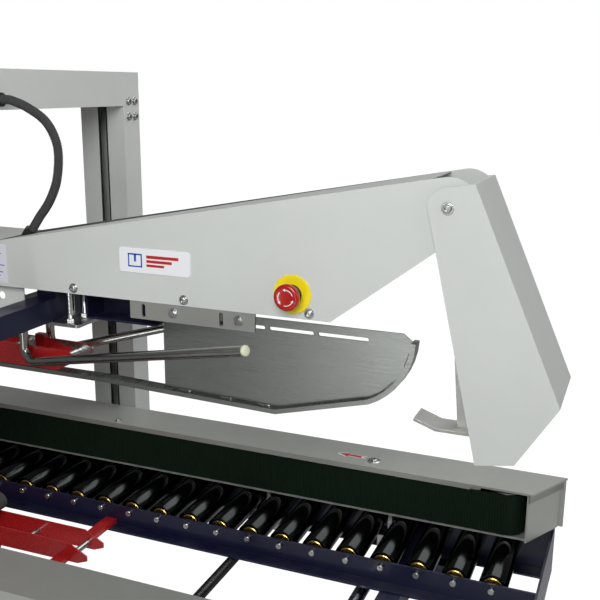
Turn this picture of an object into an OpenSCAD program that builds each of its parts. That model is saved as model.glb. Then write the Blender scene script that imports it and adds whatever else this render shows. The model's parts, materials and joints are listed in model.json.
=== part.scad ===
// Carton sealer with side belts, a height-set head, a front-flap sled and a rear-flap kicker.
// +X is the infeed end, +Y the far side, +Z up. The floor is z = 0 and the cartons run along -X.

/* [Roller bed] */
// Height of the roller tops above the floor
bed_z = 650; // [560:10:760]
// Length of the roller bed
bed_l = 1740; // [1440:10:2100]
// Clear width between the two columns
bed_w = 760; // [720:10:920]
// Depth of the side channels
channel_h = 110; // [100:5:120]
// Wall of the bed channels
channel_t = 4; // [3:0.5:6]
// Width of the open channel along the middle of the bed
centre_w = 252; // [236:2:270]
// Diameter of a bed roller
roller_d = 50; // [40:1:60]
// Diameter of a roller axle
axle_d = 12; // [8:1:16]
// Gap between neighbouring rollers
roller_gap = 16; // [8:1:30]

/* [Stand] */
// Side of the square stand tubes
stand_tube = 60; // [50:2:70]
// Wall of the square tubes
tube_wall = 3; // [2:0.5:4]
// Distance of the stand legs from the middle of the bed
leg_x = 670; // [650:5:760]
// Diameter of a levelling foot
foot_d = 64; // [50:2:90]

/* [Columns] */
// Middle of the columns along the bed
column_x = -130; // [-160:2:-120]
// Width of a column along the bed
column_w = 110; // [104:2:130]
// Depth of a column across the bed
column_d = 60; // [56:2:80]
// Width of the slot that the lift carriage passes through
slot_w = 23; // [19:1:30]
// Height of the crossbar's underside above the floor
crossbar_z = 1420; // [1400:10:1710]
// Height of the crossbar
crossbar_h = 70; // [60:2:90]
// Diameter of the lift screws
screw_d = 20; // [16:1:24]

/* [Head] */
// Height of the carton that the head is set to
carton_h = 300; // [250:5:360]
// Outer width of the head cover
head_w = 140; // [116:2:170]
// Sheet thickness of the covers
sheet = 2; // [1.5:0.5:3]
// Height of the cover's lower edge above the carton
cover_lift = 176; // [170:2:190]
// X of the cover's outfeed end
head_out_x = -560; // [-620:10:-520]
// X of the foot of the cover's raised nose
nose_low_x = 561; // [540:1:580]
// X of the kicker shaft
kicker_x = 729; // [720:1:760]
// Height of the kicker shaft above the carton
kicker_lift = 355; // [350:1:370]
// Rise of the cover's top edge in degrees
arm_rise = 10.5; // [8:0.5:12]
// Radius of the cover's nose about the kicker shaft
nose_r = 42; // [38:1:43]

/* [Kicker] */
// Diameter of the kicker shaft
kicker_shaft_d = 16; // [12:1:20]
// Gap between the head cover and the kicker hood
hood_gap = 3; // [2:0.5:5]
// Radius of the lever that turns the kicker
lever_r = 26; // [26:1:28]
// Bore length of the kicker cylinder
cylinder_l = 110; // [100:5:130]

/* [Sled] */
// Thickness of the sled's runner
runner_t = 8; // [6:1:10]
// Width of the sled's runner
runner_w = 25; // [20:1:30]
// Diameter of the side guide rods
guide_rod_d = 16; // [12:1:18]

/* [Side belts] */
// Room between a fully open rail and its column
rail_room = 25; // [10:1:40]
// Width of a belt rail
rail_w = 97; // [94:1:104]
// Height of a side belt
belt_h = 79; // [60:1:84]
// Thickness of a side belt
belt_t = 5; // [3:0.5:6]
// Radius of the belt pulleys
pulley_r = 31.7; // [28:0.1:33]

/* [Tape units] */
// Inner width between a tape unit's side plates
tape_gap = 50; // [42:1:60]
// Diameter of the tape roll
tape_roll_d = 240; // [180:5:260]
// Diameter of the applying rollers
tape_roller_d = 36; // [30:1:40]
// Thickness of the side plates
plate_t = 3; // [2:0.5:4]

/* [Controls] */
// Width of the control box
box_w = 300; // [260:10:360]
// Height of the control box
box_h = 230; // [200:10:240]

/* [Hidden] */
$fn = 48;

paint = [0.83, 0.85, 0.83];
navy = [0.12, 0.13, 0.32];
red = [0.65, 0.07, 0.08];
steel = [0.72, 0.72, 0.71];
chrome = [0.86, 0.87, 0.88];
black = [0.08, 0.08, 0.09];
belt_green = [0.05, 0.13, 0.09];

near = -1;
far = 1;
fit = 0.05;              // radial clearance of a turning fit
slip = 0.5;              // clearance between sliding or nested box sections
bed_half = bed_w / 2;
roller_pitch = roller_d + roller_gap;
end_room = 78;           // from the last roller's axle to the end of the bed
roller_pairs = floor((bed_l / 2 - end_room) / roller_pitch);
bed_low_z = bed_z - channel_h;
axle_z = bed_z - roller_d / 2;
centre_half = centre_w / 2;
roller_end_gap = 4;

// Width adjustment: two guide shafts and one screw pass under the rollers, across the bed.
guide_r = 12.5;
guide_z = bed_z - roller_d - 28;
guide_x = 8.5 * roller_pitch;
width_screw_x = 4.5 * roller_pitch;
carriage_t = 8;
rail_y1 = bed_half - rail_room;
rail_y0 = rail_y1 - rail_w;
belt_y = rail_y0 + 2;
cross_tube_x = guide_x + 59;
flange_w = 40;
carriage_y1 = bed_half - flange_w - 3;
carriage_y0 = carriage_y1 - 40;

// Side rails, measured up from the roller tops.
rail_gap = 3;
rail_sheet = 4;
rail_out_x = -bed_l / 2 - 15;
rail_in_x = bed_l / 2 + 17;
chamfer = 52;
rail_top_z = bed_z + 102;
belt_z = bed_z + 11;
belt_bore_r = pulley_r + 0.3;
pulley_y = belt_y + belt_t + belt_bore_r;
drive_x = rail_out_x + 85;
idler_x = rail_in_x - 102;
pulley_shaft_r = 10;

// Head levels, measured up from the carton's top.
top_z = bed_z + carton_h;
cover_z = top_z + cover_lift;
kicker_z = top_z + kicker_lift;
side_y = head_w / 2;
spine_half = tape_gap / 2 + plate_t + 2;
spine_z0 = cover_z + 4;
spine_z1 = spine_z0 + 40;
spine_out_x = -440;
spine_in_x = 560;
flat_top_x = -60;
beam_x = 0;
beam_w = 40;
beam_z0 = top_z + 114;
beam_z1 = beam_z0 + 40;
column_out = bed_half + column_d;
screw_y = bed_half + column_d / 2;
nut_z0 = top_z + 100;
nut_z1 = nut_z0 + 80;
sprocket_r = column_d / 2 - 10;
chain_t = 4.5;
crank_r = 110;

// Sled, in the plane y = 0.
sled_z = top_z - 6;
sled_tail_x = -125;
sled_low_x = 447;
sled_plate_x = 236;
sled_nose_c = [557, top_z + 144];
sled_nose_r = 120;
sled_top_z = top_z + 151;
carrier_z = top_z + 118;
hanger_x1 = 380;

// Side guide rods: down from the lift carriage, round a bend, then out towards the infeed.
rod_r = guide_rod_d / 2;
rod_x = -30;
rod_y = tape_gap / 2 + plate_t + rod_r + 1;
rod_bend_r = 24;
rod_low_z = top_z + 28;
rod_turn = 103.4;
rod_flare = 16.7;
rod_leg = 520;

// Kicker drive: the cylinder lies along the cover's top edge, below the shaft.
kick_swing = 80;
kick_offset = 23;
cyl_y = 20;
cyl_r = 22.5;
kicker_rod_r = 6;
pin_r = 4;
pin_slack = 0.8;
pin_rest = -lever_r * sin(kick_swing / 2);
hood_y = side_y + hood_gap;

// Tape units: x along the bed, h measured from the carton's face.
unit_y0 = tape_gap / 2;
unit_y1 = unit_y0 + plate_t;
front_pivot = [-265, 42];
rear_pivot = [-315, 42];
front_roller = [-165, -8];
rear_roller = [-415, -8];
knife_pivot = [-290, 68];
knife_tip = [-352, -6];
pivot_r = 6;
arm_y1 = unit_y0 - 1;
arm_y0 = arm_y1 - 4;
roll_core_r = 38;
roll_x = -440;
mast_t = 4;
upper_roll_z = top_z + 280 + tape_roll_d / 2;
lower_roll_z = bed_z - 120 - tape_roll_d / 2;

estop = [501, top_z + 213];
plate_at = [265, top_z + 243];
bolt_xs = [108, 316, 528];
bolt_lift = 10;
spacer_r = 5.9;

// Route of the air conduit from the crossbar's gland down to the head cover.
conduit_r = 8;
conduit_y = -10;
conduit_route = [
    [-62.7, 1438], [-54, 1438], [-44, 1437], [-12, 1426], [26, 1402], [46, 1362], [42, 1310],
    [24, 1270], [0, 1240], [-6, 1232], [-12, 1224], [-18, 1216]
];
conduit_slope = atan2(4, 3);   // the conduit meets the head cover at this slope
gland_r = conduit_r + 4;
gland_hole_r = conduit_r - 3;
gland_z = crossbar_z + 18;
cover_gland_x = -18;
gland_rise = 6.6;        // from the cover's top to the middle of the gland's face
gland_seat = 0.02;       // between the gland's face and the conduit's end

box_x = -530;
box_y0 = -bed_half + 4;
hinge_x = box_x - 7;
hinge_y = box_y0 - 2;
box_d = 146;
box_z1 = bed_low_z;
box_z0 = box_z1 - box_h;
door_t = 6;

wheel_y0 = -bed_half - 60;
wheel_r = 70;

// ---- Helpers ----

// A block between two corners given as ranges.
module block(x, y, z) {
    translate([x[0], y[0], z[0]]) cube([x[1] - x[0], y[1] - y[0], z[1] - z[0]]);
}

module bar_x(r, y, z, x) {
    translate([x[0], y, z]) rotate([0, 90, 0]) cylinder(r = r, h = x[1] - x[0]);
}

module bar_y(r, x, z, y) {
    translate([x, y[1], z]) rotate([90, 0, 0]) cylinder(r = r, h = y[1] - y[0]);
}

module bar_z(r, x, y, z) {
    translate([x, y, z[0]]) cylinder(r = r, h = z[1] - z[0]);
}

// Extrudes an outline drawn in x and z between two y values.
module slab_y(y) {
    translate([0, y[1], 0]) rotate([90, 0, 0]) linear_extrude(y[1] - y[0]) children();
}

// Draws the far side's geometry, mirrored when the side is near.
module on_side(side) {
    mirror([0, side < 0 ? 1 : 0, 0]) children();
}

// A square tube along one axis: outer ranges and the open axis.
module tube_box(x, y, z, along, wall = tube_wall) {
    w = [along == "x" ? -1 : wall, along == "y" ? -1 : wall, along == "z" ? -1 : wall];
    difference() {
        block(x, y, z);
        block([x[0] + w[0], x[1] - w[0]], [y[0] + w[1], y[1] - w[1]], [z[0] + w[2], z[1] - w[2]]);
    }
}

// A bolt along Y with a washer, head towards the near side.
module bolt_y(x, z, y, r = 5.5) {
    bar_y(r + 2.5, x, z, [y - 1.5, y]);
    translate([x, y - 1.5, z]) rotate([90, 0, 0]) cylinder(r = r, h = 5, $fn = 6);
}

// A straight link with round ends in the plane of x and z.
module link_2d(a, b, r) {
    d = b - a;
    translate(a) circle(r);
    translate(b) circle(r);
    translate(a) rotate(atan2(d[1], d[0])) translate([0, -r]) square([norm(d), 2 * r]);
}

// ---- Bed and stand ----

// Each side channel is welded from a plate and two flanges.
module side_plate() {
    end = bed_l / 2;
    difference() {
        block([-end, end], [bed_half - channel_t, bed_half], [bed_low_z, bed_z]);
        for (x = [-guide_x, guide_x])
            bar_y(guide_r + fit, x, guide_z, [bed_half - 10, bed_half + 1]);
        bar_y(screw_d / 2 + fit, width_screw_x, guide_z, [bed_half - 10, bed_half + 1]);
    }
}

module bed_side_plates() {
    color(navy) {
        side_plate();
        on_side(near) side_plate();
    }
}

module bed_flanges() {
    end = bed_l / 2;
    color(navy)
        for (s = [near, far], z = [bed_low_z, bed_z - channel_t]) on_side(s)
            block([-end, end], [bed_half - flange_w, bed_half - channel_t], [z, z + channel_t]);
}

// Bolted between the end plates, with a fit's clearance at each end.
module centre_rail() {
    end = bed_l / 2 - channel_t - fit;
    difference() {
        union() {
            block([-end, end], [centre_half, centre_half + channel_t], [bed_z - 58, bed_z - 14]);
            block([-end, end], [centre_half - 26, centre_half], [bed_z - 58, bed_z - 54]);
        }
        for (i = [-roller_pairs:roller_pairs])
            bar_y(axle_d / 2 + fit, i * roller_pitch, axle_z, [centre_half - 1, centre_half + 5]);
    }
}

module bed_frame() {
    end = bed_l / 2;
    web = bed_half - channel_t;
    color(navy) {
        centre_rail();
        on_side(near) centre_rail();
        for (x = [-end, end - channel_t])
            block([x, x + channel_t], [-web, web], [bed_low_z + channel_t, bed_z - 10]);
        for (s = [-1, 1])
            tube_box([s * cross_tube_x - 20, s * cross_tube_x + 20], [-web, web],
                     [bed_z - 98, bed_z - 58 - fit], "y");
    }
}

module roller_row() {
    y0 = centre_half + channel_t + roller_end_gap;
    y1 = bed_half - flange_w - roller_end_gap;
    for (i = [-roller_pairs:roller_pairs]) {
        x = i * roller_pitch;
        color(chrome) difference() {
            bar_y(roller_d / 2, x, axle_z, [y0, y1]);
            bar_y(axle_d / 2 + fit, x, axle_z, [y0 - 1, y1 + 1]);
        }
        color([0.75, 0.6, 0.3])
            bar_y(axle_d / 2, x, axle_z, [centre_half - 6, bed_half - channel_t]);
    }
}

module bed_rollers_near() {
    on_side(near) roller_row();
}

module bed_rollers_far() {
    roller_row();
}

sleeve_y0 = bed_half - stand_tube - channel_t;
sleeve_z = bed_low_z - 340;

module sleeve(sx) {
    x0 = sx * leg_x - stand_tube / 2;
    tube_box([x0, x0 + stand_tube], [sleeve_y0, sleeve_y0 + stand_tube], [sleeve_z, bed_low_z], "z");
}

module under_frame() {
    color(navy) {
        for (s = [near, far]) on_side(s) {
            for (sx = [-1, 1]) sleeve(sx);
            tube_box([-leg_x + stand_tube / 2, leg_x - stand_tube / 2],
                     [sleeve_y0 + 10, sleeve_y0 + 50], [sleeve_z + 20, sleeve_z + 60], "x");
        }
        for (sx = [-1, 1])
            tube_box([sx * leg_x - 20, sx * leg_x + 20], [-sleeve_y0, sleeve_y0],
                     [sleeve_z + 20, sleeve_z + 60], "y");
    }
}

leg_low_z = 62;
leg_top_z = sleeve_z + 160;
stem_r = 8;

module height_leg(sx) {
    inset = tube_wall + slip;
    x = [sx * leg_x - stand_tube / 2 + inset, sx * leg_x + stand_tube / 2 - inset];
    y = [sleeve_y0 + inset, sleeve_y0 + stand_tube - inset];
    difference() {
        block(x, y, [leg_low_z, leg_top_z]);
        block([x[0] + tube_wall, x[1] - tube_wall], [y[0] + tube_wall, y[1] - tube_wall],
              [leg_low_z + 8, leg_top_z + 1]);
        bar_z(stem_r + fit, sx * leg_x, sleeve_y0 + stand_tube / 2, [leg_low_z - 1, leg_low_z + 9]);
        for (i = [0:3])
            bar_y(5, sx * leg_x, leg_low_z + 30 + 25 * i, [y[1] - 5, y[1] + 1]);
    }
}

module height_legs() {
    color(steel)
        for (s = [near, far], sx = [-1, 1]) on_side(s) height_leg(sx);
}

module levelling_feet() {
    color(black)
        for (sy = [-1, 1], sx = [-1, 1]) {
            x = sx * leg_x;
            y = sy * (sleeve_y0 + stand_tube / 2);
            bar_z(foot_d / 2, x, y, [0, 10]);
            bar_z(foot_d / 2 - 14, x, y, [10, 22]);
            bar_z(stem_r, x, y, [22, leg_low_z + 30]);
            translate([x, y, leg_low_z - 12]) cylinder(r = 14, h = 12, $fn = 6);
        }
}

// ---- Columns, crossbar and lift ----

module column() {
    x = [column_x - column_w / 2, column_x + column_w / 2];
    slot_x = [column_x - slot_w / 2, column_x + slot_w / 2];
    w = tube_wall;
    difference() {
        block(x, [bed_half, column_out], [bed_low_z, crossbar_z]);
        block([x[0] + w, x[1] - w], [bed_half + w, column_out - w], [bed_low_z + 4, crossbar_z + 1]);
        block(slot_x, [bed_half - 1, bed_half + w + 1], [bed_z + 60, crossbar_z + 1]);
        bar_z(screw_d / 2 + fit, column_x, screw_y, [bed_low_z - 1, bed_low_z + 5]);
    }
}

module columns() {
    color(paint) {
        column();
        on_side(near) column();
    }
}

module crossbar() {
    x = [column_x - column_w / 2, column_x + column_w / 2];
    z = [crossbar_z, crossbar_z + crossbar_h];
    w = tube_wall;
    color(paint) difference() {
        block(x, [-column_out, column_out], z);
        block([x[0] + w, x[1] - w], [-column_out + w, column_out - w], [z[0] + w, z[1] - w]);
        for (s = [-1, 1])
            bar_z(screw_d / 2 + fit, column_x, s * screw_y, [z[0] - 1, z[0] + w + 1]);
        bar_z(screw_d / 2 + fit, column_x, -screw_y, [z[1] - w - 1, z[1] + 1]);
        bar_x(gland_hole_r, conduit_y, gland_z, [x[1] - w - 1, x[1] + 1]);
    }
    color(black) difference() {
        bar_x(gland_r, conduit_y, gland_z, [x[1], x[1] + 12]);
        bar_x(gland_hole_r, conduit_y, gland_z, [x[1] - 1, x[1] + 13]);
    }
}

chain_z = crossbar_z + 22;

// The chain runs round two sprockets of the same size, one over each column.
module chain_loop_2d(r) {
    for (s = [-1, 1]) translate([column_x, s * screw_y]) circle(r);
    translate([column_x - r, -screw_y]) square([2 * r, 2 * screw_y]);
}

module lift_chain() {
    color(steel) translate([0, 0, chain_z]) linear_extrude(8) difference() {
        chain_loop_2d(sprocket_r + 0.5 + chain_t);
        chain_loop_2d(sprocket_r + 0.5);
    }
}

module lift_screw(side, top) {
    bar_z(screw_d / 2, column_x, side * screw_y, [bed_low_z - 6, top]);
    bar_z(sprocket_r, column_x, side * screw_y, [chain_z + 1, chain_z + 7]);
}

module lift_screw_near() {
    color(chrome) lift_screw(near, crossbar_z + crossbar_h + 14);
}

module lift_screw_far() {
    color(chrome) lift_screw(far, crossbar_z + crossbar_h - 14);
}

module lift_crank() {
    y = -screw_y;
    z = crossbar_z + crossbar_h + 4;
    color(black) {
        difference() {
            union() {
                bar_z(16, column_x, y, [z, z + 12]);
                block([column_x, column_x + crank_r], [y - 9, y + 9], [z, z + 12]);
                bar_z(9, column_x + crank_r, y, [z, z + 12]);
            }
            bar_z(screw_d / 2, column_x, y, [z - 1, z + 10]);
        }
        bar_z(12, column_x + crank_r, y, [z + 12, z + 92]);
    }
}

module carriage_side() {
    x = [column_x - column_w / 2 + tube_wall + slip, column_x + column_w / 2 - tube_wall - slip];
    y = [bed_half + tube_wall + 5, column_out - tube_wall - 5];
    difference() {
        block(x, y, [nut_z0, nut_z1]);
        bar_z(screw_d / 2 + fit, column_x, screw_y, [nut_z0 - 1, nut_z1 + 1]);
    }
    block([column_x - slot_w / 2 + 4, column_x + slot_w / 2 - 4], [bed_half - 6, y[0]],
          [nut_z0 + 10, nut_z1 - 10]);
    block([x[0], beam_x + beam_w], [bed_half - 14, bed_half - 6], [nut_z0 + 10, nut_z1 - 10]);
}

module lift_carriage() {
    color(navy) {
        carriage_side();
        on_side(near) carriage_side();
        tube_box([beam_x, beam_x + beam_w], [-bed_half + 14, bed_half - 14],
                 [beam_z0, beam_z1], "y");
        block([beam_x, beam_x + beam_w], [-spine_half, spine_half], [beam_z1, spine_z0]);
    }
    color(paint) {
        difference() {
            block([rod_x - 15, beam_x], [-rod_y - 13, rod_y + 13], [beam_z0 + 4, beam_z0 + 32]);
            for (s = [-1, 1])
                bar_z(rod_r + fit, rod_x, s * rod_y, [beam_z0 - 1, beam_z0 + 41]);
        }
        difference() {
            block([rod_x - 45, rod_x + 20], [-rod_y - 16, -rod_y - 13], [beam_z0 - 4, cover_z]);
            bar_y(7, rod_x - 28, cover_z - 22, [-rod_y - 17, -rod_y - 12]);
        }
    }
}

// ---- Width adjustment ----

module width_guides() {
    color(chrome)
        for (x = [-guide_x, guide_x])
            bar_y(guide_r, x, guide_z, [-bed_half, bed_half]);
}

module width_screw() {
    color(chrome)
        bar_y(screw_d / 2, width_screw_x, guide_z, [wheel_y0 - 8, bed_half + 6]);
}

module width_handwheel() {
    color(black) {
        difference() {
            bar_y(wheel_r, width_screw_x, guide_z, [wheel_y0, wheel_y0 + 12]);
            bar_y(wheel_r - 12, width_screw_x, guide_z, [wheel_y0 - 1, wheel_y0 + 13]);
        }
        difference() {
            union() {
                bar_y(20, width_screw_x, guide_z, [wheel_y0, wheel_y0 + 30]);
                for (a = [0, 120, 240])
                    translate([width_screw_x, wheel_y0 + 10, guide_z]) rotate([90, a, 0])
                        translate([0, -6, 0]) cube([wheel_r - 11, 12, 8]);
            }
            bar_y(screw_d / 2, width_screw_x, guide_z, [wheel_y0 - 1, wheel_y0 + 31]);
        }
        bar_y(9, width_screw_x, guide_z + wheel_r - 12, [wheel_y0 - 12, wheel_y0]);
    }
}

// ---- Side rails ----

// Plan outline of the belt: a loop round the two pulleys, run by run.
module belt_loop_2d(r) {
    translate([drive_x, pulley_y]) circle(r);
    translate([idler_x, pulley_y]) circle(r);
    translate([drive_x, pulley_y - r]) square([idler_x - drive_x, 2 * r]);
}

module rail_top_2d() {
    polygon([[rail_out_x, rail_y0], [rail_in_x - chamfer, rail_y0], [rail_in_x, rail_y1],
             [rail_out_x, rail_y1]]);
}

// A strip along the chamfered infeed end, t thick and set back from the end.
module chamfer_strip_2d(back, t) {
    a = [rail_in_x - chamfer - back, rail_y0 + 3];
    b = [rail_in_x - back - 5, rail_y1 - 7];
    polygon([a, [a[0] - t, a[1]], [b[0] - t, b[1]], b]);
}

module rail_carriage(x, half, bore) {
    block([x - carriage_t / 2, x + carriage_t / 2], [carriage_y0, carriage_y1],
          [guide_z + 14, bed_z + rail_gap]);
    difference() {
        block([x - half, x + half], [carriage_y0, carriage_y1], [guide_z - 19, guide_z + 19]);
        bar_y(bore, x, guide_z, [carriage_y0 - 1, carriage_y1 + 1]);
    }
}

module rail() {
    z0 = bed_z + rail_gap;
    color(paint) difference() {
        union() {
            translate([0, 0, rail_top_z - rail_sheet]) linear_extrude(rail_sheet) rail_top_2d();
            block([rail_out_x, rail_in_x - 2], [rail_y1 - rail_sheet, rail_y1], [z0, rail_top_z]);
        }
        bar_z(pulley_shaft_r + fit, drive_x, pulley_y, [rail_top_z - 5, rail_top_z + 1]);
        bar_z(pulley_shaft_r + fit, idler_x, pulley_y, [rail_top_z - 5, rail_top_z - 1]);
    }
    color(steel) {
        translate([0, 0, z0]) linear_extrude(rail_top_z - rail_sheet - z0) chamfer_strip_2d(6, 3);
        difference() {
            block([rail_out_x, rail_in_x - chamfer - 8],
                  [belt_y + belt_t + 3, rail_y1 - rail_sheet], [z0, z0 + rail_sheet]);
            for (x = [drive_x, idler_x])
                bar_z(pulley_shaft_r + fit, x, pulley_y, [z0 - 1, z0 + 5]);
        }
        block([drive_x + 45, idler_x - 45], [belt_y + belt_t, belt_y + belt_t + 4],
              [z0 + rail_sheet, rail_top_z - rail_sheet]);
        block([rail_out_x + 40, rail_in_x - 165], [rail_y0 + 1, rail_y0 + 6],
              [belt_z + belt_h + 1, rail_top_z - rail_sheet]);
        for (x = [-guide_x, guide_x]) rail_carriage(x, 25, guide_r + fit);
        rail_carriage(width_screw_x, 22, screw_d / 2 + fit);
    }
}

module side_belt() {
    color(belt_green) translate([0, 0, belt_z]) linear_extrude(belt_h) difference() {
        belt_loop_2d(belt_bore_r + belt_t);
        belt_loop_2d(belt_bore_r);
    }
}

module pulley(x, top) {
    color(steel) {
        bar_z(pulley_r, x, pulley_y, [belt_z - 1, belt_z + belt_h + 1]);
        bar_z(pulley_shaft_r, x, pulley_y, [bed_z + rail_gap, top]);
    }
}

gearbox_z = rail_top_z + 96;
motor_z = rail_top_z + 50;
motor_r = 42;

module belt_motor() {
    color(paint) difference() {
        block([drive_x - 50, drive_x + 50], [pulley_y - 37, rail_y1 - 4], [rail_top_z, gearbox_z]);
        bar_z(pulley_shaft_r + fit, drive_x, pulley_y, [rail_top_z - 1, rail_top_z + 40]);
    }
    color(paint) {
        bar_x(motor_r, pulley_y + 7, motor_z, [drive_x + 50, drive_x + 60]);
        bar_x(motor_r - 3, pulley_y + 7, motor_z, [drive_x + 60, drive_x + 190]);
        block([drive_x + 90, drive_x + 160], [pulley_y - 22, pulley_y + 36],
              [motor_z + 34, motor_z + 68]);
    }
    color(black)
        bar_x(motor_r, pulley_y + 7, motor_z, [drive_x + 190, drive_x + 226]);
}

module rail_near() { on_side(near) rail(); }
module rail_far() { rail(); }
module side_belt_near() { on_side(near) side_belt(); }
module side_belt_far() { side_belt(); }
module drive_pulley_near() { on_side(near) pulley(drive_x, rail_top_z + 38); }
module drive_pulley_far() { pulley(drive_x, rail_top_z + 38); }
module idler_pulley_near() { on_side(near) pulley(idler_x, rail_top_z - rail_sheet + 2); }
module idler_pulley_far() { pulley(idler_x, rail_top_z - rail_sheet + 2); }
module belt_motor_near() { on_side(near) belt_motor(); }
module belt_motor_far() { belt_motor(); }

// ---- Head ----

nose_low = [nose_low_x, cover_z];
nose_turn = 61;          // slope of the raised lower edge, in degrees from the x axis

// Height of the cover's top edge at x: it rises to the kicker shaft and is level at the outfeed.
function edge_z(x) = kicker_z + nose_r / cos(arm_rise) + (x - kicker_x) * tan(arm_rise);
function top_edge_z(x) = edge_z(max(x, flat_top_x));

module head_side_2d() {
    polygon([
        [head_out_x, cover_z], nose_low,
        [kicker_x + nose_r * cos(-39), kicker_z + nose_r * sin(-39)],
        [kicker_x, kicker_z],
        [kicker_x - nose_r * sin(arm_rise), kicker_z + nose_r * cos(arm_rise)],
        [flat_top_x, top_edge_z(flat_top_x)], [head_out_x, top_edge_z(head_out_x)]
    ]);
    translate([kicker_x, kicker_z]) circle(nose_r);
}

module head_side() {
    difference() {
        slab_y([side_y - sheet, side_y]) head_side_2d();
        bar_y(kicker_shaft_d / 2 + fit, kicker_x, kicker_z, [side_y - 5, side_y + 1]);
        for (x = bolt_xs) bar_y(4, x, cover_z + bolt_lift, [side_y - 5, side_y + 1]);
    }
}

module head_sides() {
    color(paint) {
        head_side();
        difference() {
            on_side(near) head_side();
            bar_y(11, estop[0], estop[1], [-side_y - 1, -side_y + 5]);
        }
    }
}

top_end_x = kicker_x - 28;

module top_sheet_2d() {
    z0 = top_edge_z(head_out_x);
    z1 = top_edge_z(top_end_x);
    polygon([
        [head_out_x + sheet, z0 - sheet], [flat_top_x, z0 - sheet], [top_end_x, z1 - sheet],
        [top_end_x, z1], [flat_top_x, z0], [head_out_x, z0], [head_out_x, cover_z],
        [head_out_x + sheet, cover_z]
    ]);
}

// Draws along the conduit's end, with its face at z = 0 and the head cover below.
module along_conduit() {
    translate([cover_gland_x, conduit_y, round(top_edge_z(cover_gland_x) + gland_rise)])
        rotate([0, 90 - conduit_slope, 0]) translate([0, 0, -gland_seat]) children();
}

module head_top_cover() {
    inner = side_y - sheet;
    color(paint) difference() {
        slab_y([-inner, inner]) top_sheet_2d();
        along_conduit() bar_z(gland_r, 0, 0, [-40, 20]);
        block([roll_x - 26, roll_x + 26], [unit_y1 - 1, unit_y1 + mast_t + 1],
              [cover_z + 10, cover_z + 200]);
    }
    color(black) difference() {
        along_conduit() bar_z(gland_r, 0, 0, [-24, 0]);
        along_conduit() bar_z(gland_hole_r, 0, 0, [-25, 1]);
    }
}

module head_spine() {
    color(navy) {
        tube_box([spine_out_x, spine_in_x], [-spine_half, spine_half], [spine_z0, spine_z1], "x");
        for (x = bolt_xs, s = [-1, 1]) on_side(s) difference() {
            bar_y(spacer_r, x, cover_z + bolt_lift, [spine_half, side_y - sheet]);
            bar_y(4, x, cover_z + bolt_lift, [spine_half - 1, side_y]);
        }
        // Tool carrier: an open channel under the spine that holds the sled.
        block([96, hanger_x1], [26, spine_half], [carrier_z, spine_z0]);
        block([96, sled_plate_x - 6], [-14, 26], [carrier_z, carrier_z + 4]);
        block([96, 100], [-24, 26], [carrier_z + 4, spine_z0]);
        // Sled hanger, on the far side of the sled plate, short of the open slots.
        block([260, hanger_x1], [1.5, 5.5], [top_z + 120, spine_z0]);
    }
    color(navy) {
        // Mast for the upper tape roll.
        slab_y([unit_y1, unit_y1 + mast_t])
            link_2d([roll_x, spine_z1 - 20], [roll_x, upper_roll_z], 24);
        difference() {
            bar_y(roll_core_r - 0.1, roll_x, upper_roll_z, [-unit_y0 + 1, unit_y1]);
            bar_y(roll_core_r - 8, roll_x, upper_roll_z, [-unit_y0, unit_y1 - 6]);
        }
        block([spine_out_x - 18, spine_out_x], [-spine_half, unit_y1], [spine_z0, spine_z1]);
    }
}

module sled_bracket() {
    y0 = -side_y + sheet;
    z = [top_z + 146, cover_z];
    color([0.7, 0.69, 0.65]) {
        difference() {
            block([215, 438], [y0, y0 + 4], z);
            for (x = [240, 380]) link_slot(x, y0);
        }
        block([215, 438], [y0, -10], [cover_z, cover_z + 4]);
    }
    color(steel) for (x = [295, 410]) {
        bolt_y(x, top_z + 162, y0);
        bar_y(3.9, x, top_z + 162, [y0, y0 + 16]);
    }
}

// A vertical slot 7 wide and 24 high through the bracket.
module link_slot(x, y0) {
    slab_y([y0 - 1, y0 + 5]) link_2d([x, top_z + 153], [x, top_z + 168], 3.5);
}

// Lower line of the sled: level tail, down to the lowest point, up to the round nose.
function sled_line(grow) = concat(
    [[sled_tail_x, top_z + 4 - grow], [120, top_z + 4 - grow], [sled_low_x, sled_z - grow]],
    [for (a = [-66:8:-2]) sled_nose_c + (sled_nose_r + grow) * [cos(a), sin(a)]]
);

module sled() {
    outer = sled_line(0);
    inner = sled_line(-runner_t);
    n = len(inner);
    color(steel) {
        slab_y([-runner_w / 2, runner_w / 2])
            polygon(concat(outer, [for (i = [n - 1:-1:0]) inner[i]]));
        difference() {
            slab_y([-1.5, 1.5]) intersection() {
                polygon(concat(inner, [[sled_nose_c[0] + sled_nose_r - 22, sled_top_z],
                                       [sled_tail_x, sled_top_z]]));
                translate([sled_plate_x, 0]) square([500, 2000]);
            }
            for (x = [[330, 425], [433, 509], [517, 600]])
                slab_y([-3, 3]) link_2d([x[0] + 3, sled_top_z - 16], [x[1] - 3, sled_top_z - 16], 3);
        }
        for (x = [262, 310]) bar_y(6, x, sled_top_z - 12, [-9, -1.5]);
    }
}

// One guide rod, drawn on the far side: a leg, a bend and the flared leg.
module guide_rod() {
    bend = rod_low_z + rod_r + rod_bend_r;
    translate([rod_x, rod_y, 0]) rotate([0, 0, rod_flare]) {
        bar_z(rod_r, 0, 0, [bend, beam_z0 + 40]);
        translate([rod_bend_r, 0, bend]) rotate([90, 0, 0]) rotate([0, 0, 180])
            rotate_extrude(angle = rod_turn) translate([rod_bend_r, 0]) circle(rod_r);
        translate([rod_bend_r, 0, bend]) rotate([0, -(rod_turn - 90), 0])
            translate([0, 0, -rod_bend_r]) rotate([0, 90, 0]) cylinder(r = rod_r, h = rod_leg);
    }
}

module side_guide_rods() {
    color(steel) {
        guide_rod();
        on_side(near) guide_rod();
    }
}

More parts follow.
